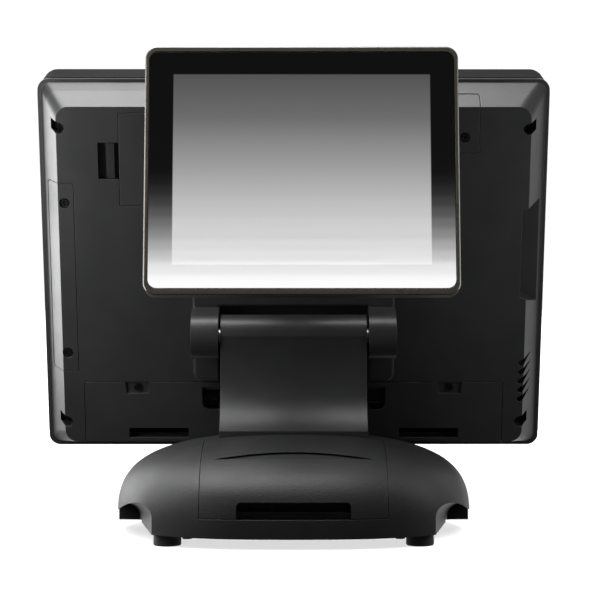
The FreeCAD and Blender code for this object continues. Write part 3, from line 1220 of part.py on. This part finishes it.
footSpots = [(x, y) for x in (-footX, footX) for y in (footBack, footFront)]
plateForm = shared("base_plate_form", dome("base_plate_edge", 3.4), block(
    "base_plate_extent", (-130, 130), (-130, 110), (baseLow, plateTop)))
plateTools = [tunnel("plate_room_left", -1, 2.6), tunnel("plate_room_right", 1, 2.6)] + skirts
for n, (x, y) in enumerate(postSpots):
    plateTools.append(rod(f"plate_hole{n}", "z", (x, y, baseLow - 1), 5, 1.7))
for n, (x, y) in enumerate(footBolts):
    plateTools.append(rod(f"plate_bolt_hole{n}", "z", (x, y, baseLow - 1), 5, 2.6))
for n, (x, y) in enumerate(footSpots):
    plateTools.append(rod(f"plate_foot_hole{n}", "z", (x, y, baseLow - 1), 5, 3.0))
keep("base_plate", cut("base_plate", plateForm, plateTools))
ballast = block("ballast_blank", (-88, 88), (-36, 62), (plateTop, ballastTop))
ballastTools = [rod(f"ballast_hole{n}", "z", (x, y, baseLow), 12, 2.6) for n, (x, y) in enumerate(footBolts)]
ballastTools += [rod(f"ballast_foot_room{n}", "z", (x, y, baseLow), 12,
    6.5) for n, (x, y) in enumerate(footSpots)]
ballastTools += [rod(f"ballast_post_room{n}", "z", (x, y, baseLow), 12,
    5.0) for n, (x, y) in enumerate(postSpots)]
keep("ballast_plate", cut("ballast_plate", ballast, ballastTools))
keep("base_screws", group("base_screws", [
    screw(f"base_screw{n}", "z", (x, y, baseLow + 10), 10, 1.45, 1.8, 3.2, -1)
    for n, (x, y) in enumerate(postSpots)]))
keep("neck_bolts", group("neck_bolts", [
    screw(f"neck_bolt{n}", "z", (x, y, baseLow), ballastTop - baseLow + 6, 2.4, 3.0, 4.5, 1)
    for n, (x, y) in enumerate(footBolts)]))
feet = []
for n, (x, y) in enumerate(footSpots):
    pad_ = rod(f"foot_pad{n}", "z", (x, y, 0), baseLow, footR)
    soft = rounded(f"foot_soft{n}", pad_, 1.2, lambda e: e.BoundBox.ZMax < 0.1)
    feet.append(join(f"foot{n}", [soft, rod(f"foot_stem{n}", "z", (x, y, baseLow), 2, 2.9),
                                  rod(f"foot_barb{n}", "z", (x, y, plateTop), 3.0, 4.2, 2.4)]))
keep("rubber_feet", group("rubber_feet", feet))

adapter = block("adapter_case", (-64, 64), (-94, -48), (plateTop, plateTop + 32))
keep("power_adapter", rounded("power_adapter", adapter, 3.0, lambda e: e.BoundBox.ZMin > 11 and (
    along(V(0, 0, 1))(e) or e.BoundBox.ZMin > 40)))
inlet = cut("mains_inlet_blank", block("inlet_case", (-40, -13), (-100, -94),
    (plateTop + 4, plateTop + 24)), [
    block("inlet_mouth", (-37, -16), (-101, -95.5), (plateTop + 7, plateTop + 21))])
pins = [rod(f"inlet_pin{n}", "y", (-26.5 + 6.5 * n, -99.5, plateTop + 14), 5.0, 1.1) for n in (-1, 0, 1)]
keep("mains_inlet", join("mains_inlet", [inlet] + pins))
clampY = size("clamp_y", -112.0, "cable clamp's face")
bar = [block("clamp_bar", (-42, 42), (clampY, clampY + 3), (plateTop, 25)),
       block("clamp_foot", (-42, 42), (clampY, clampY + 10), (plateTop, plateTop + 2))]
clampHoles = [block(f"clamp_mark{n}", ends, (clampY - 1, clampY + 0.6), (low, 23.5))
              for n, (ends, low) in enumerate((((-28.2, -27.6), 17), ((27.6, 28.2), 17), ((-28, 28), 22.9)))]
keep("cable_clamp", cut("cable_clamp", join("clamp_blank", bar), clampHoles))


# ================================================================ writing the pieces
doc.recompute()
os.makedirs("parts", exist_ok=True)
for item in doc.Objects:
    if "Invalid" in item.State or "Error" in item.State:
        raise RuntimeError(f"{item.Name}: {item.State}")
for node, thing in parts.items():
    shape = thing.Shape
    if shape.isNull() or not shape.isValid() or not shape.Solids:
        raise RuntimeError(node + " is not a sound solid")
    shape.exportStep(f"parts/{node}.step")
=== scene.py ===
import bpy
import bmesh
import json
import math
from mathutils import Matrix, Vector

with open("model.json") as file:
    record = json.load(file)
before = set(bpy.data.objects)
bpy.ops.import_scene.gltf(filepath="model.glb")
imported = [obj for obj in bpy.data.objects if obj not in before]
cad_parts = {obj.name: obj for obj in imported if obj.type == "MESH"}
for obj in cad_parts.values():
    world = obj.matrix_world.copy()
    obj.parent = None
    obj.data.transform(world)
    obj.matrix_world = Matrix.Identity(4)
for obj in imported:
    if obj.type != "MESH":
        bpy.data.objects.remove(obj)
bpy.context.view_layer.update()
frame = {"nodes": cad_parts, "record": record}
nodes = frame["nodes"]
print("frame loaded:", len(nodes), "nodes")

displayHinge = Vector((0.0054, -0.0545, 0.243))  # middle of the customer display's hinge
displayUp = Vector((0, 0.1564, 0.9877))  # up the customer display's face
headHinge = Vector((0, 0.01, 0.1375))
headUp = Vector((0, -0.2756, 0.9613))  # up the head's panel


# small helpers for shader nodes
def startMaterial(name):
    made = bpy.data.materials.new(name)
    made.use_nodes = True
    tree = made.node_tree
    shader = tree.nodes["Principled BSDF"]
    coords = tree.nodes.new("ShaderNodeTexCoord")
    return made, tree, shader, coords.outputs["Object"]


def addNoise(tree, coords, scale, detail=3.0, rough=0.55, stretch=None):
    texture = tree.nodes.new("ShaderNodeTexNoise")
    texture.inputs["Scale"].default_value = scale
    texture.inputs["Detail"].default_value = detail
    texture.inputs["Roughness"].default_value = rough
    source = coords
    if stretch:
        mapping = tree.nodes.new("ShaderNodeMapping")
        mapping.inputs["Scale"].default_value = stretch
        tree.links.new(coords, mapping.inputs["Vector"])
        source = mapping.outputs["Vector"]
    tree.links.new(source, texture.inputs["Vector"])
    return texture.outputs["Fac"]


def addRamp(tree, fac, stops):
    ramp = tree.nodes.new("ShaderNodeValToRGB")
    ramp.color_ramp.elements[0].position = stops[0][0]
    ramp.color_ramp.elements[0].color = (*stops[0][1], 1)
    ramp.color_ramp.elements[1].position = stops[-1][0]
    ramp.color_ramp.elements[1].color = (*stops[-1][1], 1)
    for position, colour in stops[1:-1]:
        ramp.color_ramp.elements.new(position).color = (*colour, 1)
    tree.links.new(fac, ramp.inputs["Fac"])
    return ramp.outputs["Color"]


def addRange(tree, value, low, high, toLow, toHigh):
    mapped = tree.nodes.new("ShaderNodeMapRange")
    mapped.inputs["From Min"].default_value = low
    mapped.inputs["From Max"].default_value = high
    mapped.inputs["To Min"].default_value = toLow
    mapped.inputs["To Max"].default_value = toHigh
    tree.links.new(value, mapped.inputs["Value"])
    return mapped.outputs["Result"]


def addMath(tree, kind, first, second):
    made = tree.nodes.new("ShaderNodeMath")
    made.operation = kind
    for slot, value in zip(made.inputs, (first, second)):
        if isinstance(value, (int, float)):
            slot.default_value = value
        else:
            tree.links.new(value, slot)
    return made.outputs["Value"]


def softenEdges(tree, radius):  # light catches the moulded edges, which are never knife sharp
    edge = tree.nodes.new("ShaderNodeBevel")
    edge.samples = 6
    edge.inputs["Radius"].default_value = radius
    return edge.outputs["Normal"]


def addBump(tree, shader, height, distance, strength=1.0, edge=0.0):
    bump = tree.nodes.new("ShaderNodeBump")
    bump.inputs["Distance"].default_value = distance
    bump.inputs["Strength"].default_value = strength
    tree.links.new(height, bump.inputs["Height"])
    if edge:
        tree.links.new(softenEdges(tree, edge), bump.inputs["Normal"])
    tree.links.new(bump.outputs["Normal"], shader.inputs["Normal"])


# moulded plastics: spark-eroded grain, slight mottling, a little polish where hands rub
def mouldedPlastic(name, look):
    made, tree, shader, coords = startMaterial(name)
    mottle = addNoise(tree, coords, look["mottleScale"], 4.0)
    dark = look["colour"]
    light = [min(1.0, c * look["mottle"]) for c in dark]
    tree.links.new(addRamp(tree, mottle, [(0.3, dark), (0.7, light)]), shader.inputs["Base Color"])
    grain = addNoise(tree, coords, look["grainScale"], 2.0, 0.6)
    rub = addNoise(tree, coords, 16.0, 5.0, 0.6)
    roughness = addMath(tree, "ADD",
        addRange(tree, rub, 0.35, 0.7, look["rough"] - 0.04, look["rough"] + 0.05),
                        addRange(tree, grain, 0.3, 0.7, -0.03, 0.03))
    tree.links.new(roughness, shader.inputs["Roughness"])
    shader.inputs["Specular IOR Level"].default_value = look["shine"]
    addBump(tree, shader, grain, look["grainDepth"], look["grainStrength"], look["edge"])
    return made


charcoalLook = {"colour": (0.017, 0.0172, 0.018), "mottle": 1.25, "mottleScale": 60.0, "grainScale": 1500.0,
                "grainDepth": 0.00012, "grainStrength": 0.35, "rough": 0.38, "shine": 0.34, "edge": 0.0005}
bezelLook = dict(charcoalLook, colour=(0.004, 0.0041, 0.0044), rough=0.8, shine=0.04, grainScale=1900.0)
domeLook = dict(charcoalLook, colour=(0.009, 0.0092, 0.0097), rough=0.5, shine=0.24, grainScale=850.0,
    grainDepth=0.00025, grainStrength=0.6, edge=0.0006)
innerLook = dict(charcoalLook, colour=(0.008, 0.008, 0.0085), rough=0.45, mottle=1.15, edge=0.0003)
charcoalPlastic = mouldedPlastic("charcoalGrain", charcoalLook)
bezelPlastic = mouldedPlastic("bezelGrain", bezelLook)
innerPlastic = mouldedPlastic("innerBlack", innerLook)
domePlastic = mouldedPlastic("domeGrain", domeLook)
packWrap = mouldedPlastic("batteryWrap",
    dict(innerLook, colour=(0.05, 0.055, 0.075), rough=0.28, grainScale=500.0))
chipResin = mouldedPlastic("chipResin",
    dict(innerLook, colour=(0.012, 0.012, 0.012), rough=0.5, grainScale=2600.0))


# painted bronze-grey trim of the customer display
def satinPaint(name, look):
    made, tree, shader, coords = startMaterial(name)
    flake = addNoise(tree, coords, look["flakeScale"], 1.0)
    tree.links.new(addRamp(tree, flake, [(0.35, look["colour"]), (0.68, look["flake"])]),
        shader.inputs["Base Color"])
    wear = addNoise(tree, coords, 30.0, 4.0)
    tree.links.new(addRange(tree, wear, 0.3, 0.7, look["rough"] - 0.05, look["rough"] + 0.06),
        shader.inputs["Roughness"])
    shader.inputs["Metallic"].default_value = look["metal"]
    shader.inputs["Coat Weight"].default_value = look["coat"]
    shader.inputs["Coat Roughness"].default_value = 0.25
    addBump(tree, shader, flake, 0.00003, 0.4, look["edge"])
    return made


trimLook = {"colour": (0.055, 0.050, 0.043), "flake": (0.085, 0.078, 0.066), "flakeScale": 2400.0,
            "rough": 0.3, "metal": 0.5, "coat": 0.2, "edge": 0.0004}
powderLook = dict(trimLook, colour=(0.03, 0.03, 0.031), flake=(0.042, 0.042, 0.043), flakeScale=900.0,
                  rough=0.5, metal=0.0, coat=0.0, edge=0.0005)
displayTrim = satinPaint("displayTrim", trimLook)
powderCoat = satinPaint("powderCoat", powderLook)


# metals: rolled, cast, anodised, plated
def bareMetal(name, look):
    made, tree, shader, coords = startMaterial(name)
    streak = addNoise(tree, coords, look["streakScale"], 3.0, 0.6, look["stretch"])
    blotch = addNoise(tree, coords, 45.0, 4.0)
    dull = [c * look["dull"] for c in look["colour"]]
    tree.links.new(addRamp(tree, blotch, [(0.25, dull), (0.75, look["colour"])]),
        shader.inputs["Base Color"])
    tree.links.new(addRange(tree, streak, 0.3, 0.7, look["rough"] - 0.07, look["rough"] + 0.09),
        shader.inputs["Roughness"])
    shader.inputs["Metallic"].default_value = 1.0
    addBump(tree, shader, streak, look["depth"], 0.5, 0.0003)
    return made


sheetLook = {"colour": (0.60, 0.60, 0.61), "dull": 0.8, "rough": 0.36, "streakScale": 350.0,
             "stretch": (1.0, 1.0, 18.0), "depth": 0.00002}
zincSteel = bareMetal("zincSteel", sheetLook)
blackOxide = bareMetal("blackOxide",
    dict(sheetLook, colour=(0.018, 0.018, 0.019), rough=0.55, stretch=(1, 1, 1)))
castAlloy = bareMetal("castAlloy", dict(sheetLook, colour=(0.52, 0.53, 0.54), rough=0.55, streakScale=700.0,
                                        stretch=(1, 1, 1), depth=0.00015))
finAlloy = bareMetal("anodisedFins",
    dict(sheetLook, colour=(0.20, 0.21, 0.23), rough=0.4, stretch=(1, 1, 8)))
nickelPlate = bareMetal("nickelPlate",
    dict(sheetLook, colour=(0.66, 0.65, 0.61), rough=0.26, stretch=(6, 1, 1)))
lcdTin = bareMetal("lcdModuleTin",
    dict(sheetLook, colour=(0.42, 0.43, 0.44), rough=0.45, stretch=(12, 1, 1)))


# circuit board: solder mask over faint tracks
boardLook = {"mask": (0.004, 0.018, 0.012), "track": (0.007, 0.03, 0.02), "pitch": 300.0, "rough": 0.32}


def solderMask(name, look):
    made, tree, shader, coords = startMaterial(name)
    tracks = tree.nodes.new("ShaderNodeTexBrick")
    tracks.inputs["Scale"].default_value = look["pitch"]
    tracks.inputs["Mortar Size"].default_value = 0.06
    tracks.inputs["Color1"].default_value = (*look["mask"], 1)
    tracks.inputs["Color2"].default_value = (*[c * 1.15 for c in look["mask"]], 1)
    tracks.inputs["Mortar"].default_value = (*look["track"], 1)
    turn = tree.nodes.new("ShaderNodeMapping")
    turn.inputs["Rotation"].default_value = (math.radians(90), 0, 0)
    tree.links.new(coords, turn.inputs["Vector"])
    tree.links.new(turn.outputs["Vector"], tracks.inputs["Vector"])
    tree.links.new(tracks.outputs["Color"], shader.inputs["Base Color"])
    weave = addNoise(tree, coords, 900.0, 2.0)
    tree.links.new(addRange(tree, weave, 0.3, 0.7, look["rough"] - 0.05, look["rough"] + 0.05),
        shader.inputs["Roughness"])
    addBump(tree, shader, tracks.outputs["Fac"], 0.00004, 0.6)
    return made


solderBoard = solderMask("solderMask", boardLook)


# rubber feet and foam tape
def rubberSkin(name, look):
    made, tree, shader, coords = startMaterial(name)
    bloom = addNoise(tree, coords, look["bloomScale"], 5.0)
    tree.links.new(addRamp(tree, bloom, [(0.3, look["colour"]), (0.8, look["bloom"])]),
        shader.inputs["Base Color"])
    tree.links.new(addRange(tree, bloom, 0.3, 0.7, look["rough"], look["rough"] + 0.1),
        shader.inputs["Roughness"])
    shader.inputs["Specular IOR Level"].default_value = 0.35
    pores = addNoise(tree, coords, look["poreScale"], 2.0, 0.7)
    addBump(tree, shader, pores, look["poreDepth"], 0.5, 0.0004)
    return made


rubberLook = {"colour": (0.018, 0.018, 0.018), "bloom": (0.032, 0.032, 0.031), "bloomScale": 70.0,
              "rough": 0.68, "poreScale": 1400.0, "poreDepth": 0.00012}
footRubber = rubberSkin("footRubber", rubberLook)
foamTape = rubberSkin("foamTape", dict(rubberLook, rough=0.85, poreScale=2200.0, poreDepth=0.0003))


# glass over a screen: black border, and the panel that shows through it; the panel's emission is a painted
# reflection
def screenGlass(name, look):
    made, tree, shader, coords = startMaterial(name)
    offset = tree.nodes.new("ShaderNodeVectorMath")
    offset.operation = "SUBTRACT"
    offset.inputs[1].default_value = look["centre"]
    tree.links.new(coords, offset.inputs[0])
    upward = tree.nodes.new("ShaderNodeVectorMath")
    upward.operation = "DOT_PRODUCT"
    upward.inputs[1].default_value = look["up"]
    tree.links.new(offset.outputs["Vector"], upward.inputs[0])
    across = tree.nodes.new("ShaderNodeVectorMath")
    across.operation = "DOT_PRODUCT"
    across.inputs[1].default_value = (1, 0, 0)
    tree.links.new(offset.outputs["Vector"], across.inputs[0])
    height = upward.outputs["Value"]
    spanX = addMath(tree, "ABSOLUTE", across.outputs["Value"], 0.0)
    spanZ = addMath(tree, "ABSOLUTE", addMath(tree, "SUBTRACT", height, look["middle"]), 0.0)
    insideX = addRange(tree, spanX, look["half"][0] - 0.0003, look["half"][0] + 0.0003, 1.0, 0.0)
    insideZ = addRange(tree, spanZ, look["half"][1] - 0.0003, look["half"][1] + 0.0003, 1.0, 0.0)
    mask = addMath(tree, "MULTIPLY", insideX, insideZ)
    panel = tree.nodes.new("ShaderNodeMix")
    panel.data_type = "RGBA"
    panel.inputs["A"].default_value = (*look["border"], 1)
    panel.inputs["B"].default_value = (*look["panel"], 1)
    tree.links.new(mask, panel.inputs["Factor"])
    tree.links.new(panel.outputs["Result"], shader.inputs["Base Color"])
    # painted reflection: the panel glows brightest a third of the way up and fades towards the top, on top of
    # the real reflection of the card lamps in the glass
    fade = addRange(tree, height, look["middle"] - look["half"][1], look["middle"] + look["half"][1],
        0.0, 1.0)
    paintedReflectionRamp = addRamp(tree, fade, look["glow"])
    paintedReflectionMix = tree.nodes.new("ShaderNodeMix")
    paintedReflectionMix.data_type = "RGBA"
    paintedReflectionMix.inputs["A"].default_value = (0, 0, 0, 1)
    tree.links.new(mask, paintedReflectionMix.inputs["Factor"])
    tree.links.new(paintedReflectionRamp, paintedReflectionMix.inputs["B"])
    tree.links.new(paintedReflectionMix.outputs["Result"], shader.inputs["Emission Color"])
    shader.inputs["Emission Strength"].default_value = look["strength"]
    smears = addNoise(tree, coords, 26.0, 5.0, 0.65)
    tree.links.new(addRange(tree, smears, 0.35, 0.75, look["rough"], look["rough"] + 0.02),
        shader.inputs["Roughness"])
    shader.inputs["IOR"].default_value = 1.52
    shader.inputs["Coat Weight"].default_value = look["coat"]
    shader.inputs["Coat Roughness"].default_value = 0.03
    ripple = addNoise(tree, coords, 9.0, 1.0)
    addBump(tree, shader, ripple, 0.00002, 0.3, 0.0003)
    return made


# the display's glow ramp paints a reflection onto its panel: bright low down, fading upwards
displayLook = {"centre": displayHinge, "up": displayUp, "middle": 0.0005, "half": (0.0853, 0.0643),
               "border": (0.0003, 0.0003, 0.0003), "panel": (0.0004, 0.0004, 0.0004),
               "rough": 0.03, "coat": 0.0,
               "glow": [(0.0, (0.14, 0.14, 0.14)), (0.09, (0.3, 0.3, 0.3)), (0.2, (0.45, 0.45, 0.45)),
                        (0.32, (0.47, 0.47, 0.47)), (0.43, (0.4, 0.4, 0.4)), (0.54, (0.31, 0.31, 0.31)),
                        (0.77, (0.145, 0.145, 0.145)), (1.0, (0.08, 0.08, 0.08))], "strength": 1.0}
touchLook = {"centre": headHinge, "up": headUp, "middle": 0.0385, "half": (0.152, 0.114),
             "border": (0.004, 0.004, 0.0045), "panel": (0.013, 0.014, 0.016), "rough": 0.12, "coat": 0.0,
             "glow": [(0.0, (0, 0, 0)), (1.0, (0, 0, 0))], "strength": 0.0}
displayGlass = screenGlass("displayGlass", displayLook)
touchGlass = screenGlass("touchGlass", touchLook)
print("materials made")

slotFinish = {
    "charcoal_plastic": charcoalPlastic, "bezel_plastic": bezelPlastic, "inner_plastic": innerPlastic,
    "display_trim": displayTrim, "black_glass": displayGlass, "touch_glass": touchGlass, "lcd_module": lcdTin,
    "steel": zincSteel, "screw_steel": blackOxide, "cast_alloy": castAlloy, "heat_sink_alloy": finAlloy,
    "circuit_board": solderBoard, "chip_black": chipResin, "connector_metal": nickelPlate,
    "black_rubber": footRubber, "battery_wrap": packWrap, "foam_tape": foamTape, "ballast_steel": powderCoat}
for row in frame["record"]["subparts"]:
    cadNode = nodes[row["node"]]
    finish = slotFinish[row["material_slot"]]
    if not cadNode.material_slots:
        cadNode.data.materials.append(finish)
    for materialSlot in cadNode.material_slots:
        materialSlot.material = finish
domePieces = ("base_dome", "base_plate", "base_rear_cover")  # these have a coarser grain than the head
for name in domePieces:
    for materialSlot in nodes[name].material_slots:
        materialSlot.material = domePlastic
print("finishes given to the frame")


# floor, studio light and camera
def makeFloor(look):
    mesh = bmesh.new()
    bmesh.ops.create_grid(mesh, x_segments=1, y_segments=1, size=look["half"])
    data = bpy.data.meshes.new("studioFloor")
    mesh.to_mesh(data)
    mesh.free()
    floor = bpy.data.objects.new("studioFloor", data)
    bpy.context.scene.collection.objects.link(floor)
    made, tree, shader, coords = startMaterial("paleFloor")
    speckle = addNoise(tree, coords, 8.0, 4.0)
    tree.links.new(addRamp(tree, speckle, [(0.3, look["colour"]), (0.7, look["colourTwo"])]),
        shader.inputs["Base Color"])
    shader.inputs["Roughness"].default_value = 0.7
    floor.data.materials.append(made)
    floor.visible_diffuse = False  # the counter below throws almost no light up at the terminal
    floor.visible_glossy = False


def aimedLight(name, place, target, size, power):
    data = bpy.data.lights.new(name, "AREA")
    data.shape = "RECTANGLE"
    data.size, data.size_y = size
    data.energy = power
    lamp = bpy.data.objects.new(name, data)
    lamp.location = place
    lamp.rotation_euler = (Vector(target) - Vector(place)).to_track_quat("-Z", "Y").to_euler()
    bpy.context.scene.collection.objects.link(lamp)
    return lamp


def makeWorld(look):  # white backdrop behind, a dimmer room towards the camera
    world = bpy.data.worlds.new("studio")
    bpy.context.scene.world = world
    world.use_nodes = True
    tree = world.node_tree
    background = tree.nodes["Background"]
    coords = tree.nodes.new("ShaderNodeTexCoord")
    split = tree.nodes.new("ShaderNodeSeparateXYZ")
    tree.links.new(coords.outputs["Generated"], split.inputs["Vector"])
    fade = addRange(tree, split.outputs["Y"], look["from"], look["to"], 0.0, 1.0)
    tree.links.new(addRamp(tree, fade, [(0.0, look["room"]), (1.0, look["backdrop"])]),
        background.inputs["Color"])
    background.inputs["Strength"].default_value = 1.0


def onlyOn(lamp, name, members):
    linked = bpy.data.collections.get(name) or bpy.data.collections.new(name)
    for member in members:
        if member.name not in linked.objects:
            linked.objects.link(member)
    lamp.light_linking.receiver_collection = linked


makeFloor({"half": 30.0, "colour": (0.86, 0.86, 0.86), "colourTwo": (0.88, 0.88, 0.88)})
makeWorld({"from": -0.2, "to": 0.75, "room": (0.11, 0.11, 0.11), "backdrop": (1.05, 1.05, 1.05)})
middle = (0, 0, 0.17)
floorLook = {"sunPower": 5.0, "sunSize": 40, "sunTurn": 50, "washPower": 2.6}
floorSun = bpy.data.objects.new("floorSun", bpy.data.lights.new("floorSun", "SUN"))
floorSun.data.energy = floorLook["sunPower"]
floorSun.data.angle = math.radians(floorLook["sunSize"])
floorSun.rotation_euler = (math.radians(floorLook["sunTurn"]), 0, 0)
bpy.context.scene.collection.objects.link(floorSun)
onlyOn(floorSun, "floorOnly", [bpy.data.objects["studioFloor"]])
floorWash = bpy.data.objects.new("floorWash", bpy.data.lights.new("floorWash", "SUN"))  # lifts the shadow
floorWash.data.energy = floorLook["washPower"]
bpy.context.scene.collection.objects.link(floorWash)
onlyOn(floorWash, "floorOnly", [])
floorWash.light_linking.blocker_collection = bpy.data.collections["floorOnly"]
studioLamps = {
    "overheadBox": {"place": (-0.35, -0.1, 1.5), "size": (1.5, 1.2), "power": 70.0},
    "leftBox": {"place": (-1.25, 0.85, 0.55), "size": (0.9, 1.3), "power": 26.0},
    "leftFill": {"place": (-1.3, -1.0, 0.5), "size": (0.8, 0.8), "power": 3.0},
    "leftStrip": {"place": (-0.26, -0.11, 0.22), "size": (0.05, 0.3), "power": 0.7},
    "rightStrip": {"place": (0.3, -0.1, 0.22), "size": (0.05, 0.3), "power": 0.35}}
for name, lamp in studioLamps.items():
    onlyOn(aimedLight(name, lamp["place"], middle, lamp["size"], lamp["power"]), "terminalOnly",
        nodes.values())


def displayCard(look):  # white card that only the customer display's glass mirrors, fading out upwards
    for n, (low, high, glow) in enumerate(look["strips"]):
        tall = high - low
        level = (low + high) / 2
        power = glow * math.pi * look["wide"] * tall
        lamp = aimedLight(f"displayCard{n}", (0, look["y"], level), (0, look["y"] + 1, level),
            (look["wide"], tall), power)
        onlyOn(lamp, "displayGlassOnly", [nodes["display_glass"]])


displayCard({"y": -2.1, "wide": 1.6, "strips": [
    (0.30, 0.83, 26.0), (0.83, 0.855, 23.0), (0.855, 0.88, 19.0), (0.88, 0.90, 12.5), (0.90, 0.92, 9.0),
    (0.92, 0.94, 5.6), (0.94, 0.96, 3.5), (0.96, 0.98, 1.9), (0.98, 1.0, 0.9), (1.0, 1.02, 0.35),
    (1.02, 1.04, 0.1)]})

cameraLook = {"place": (0, -1.412, 0.163), "yaw": -0.181, "lens": 119.73}
cameraData = bpy.data.cameras.new("counterView")
cameraData.lens = cameraLook["lens"]
cameraData.sensor_width = 36
cameraData.clip_end = 100
camera = bpy.data.objects.new("counterView", cameraData)
camera.location = cameraLook["place"]
camera.rotation_euler = (math.radians(90), 0, math.radians(cameraLook["yaw"]))
bpy.context.scene.collection.objects.link(camera)
bpy.context.scene.camera = camera
bpy.context.scene.view_settings.view_transform = "Standard"
print("stage, light and camera set")
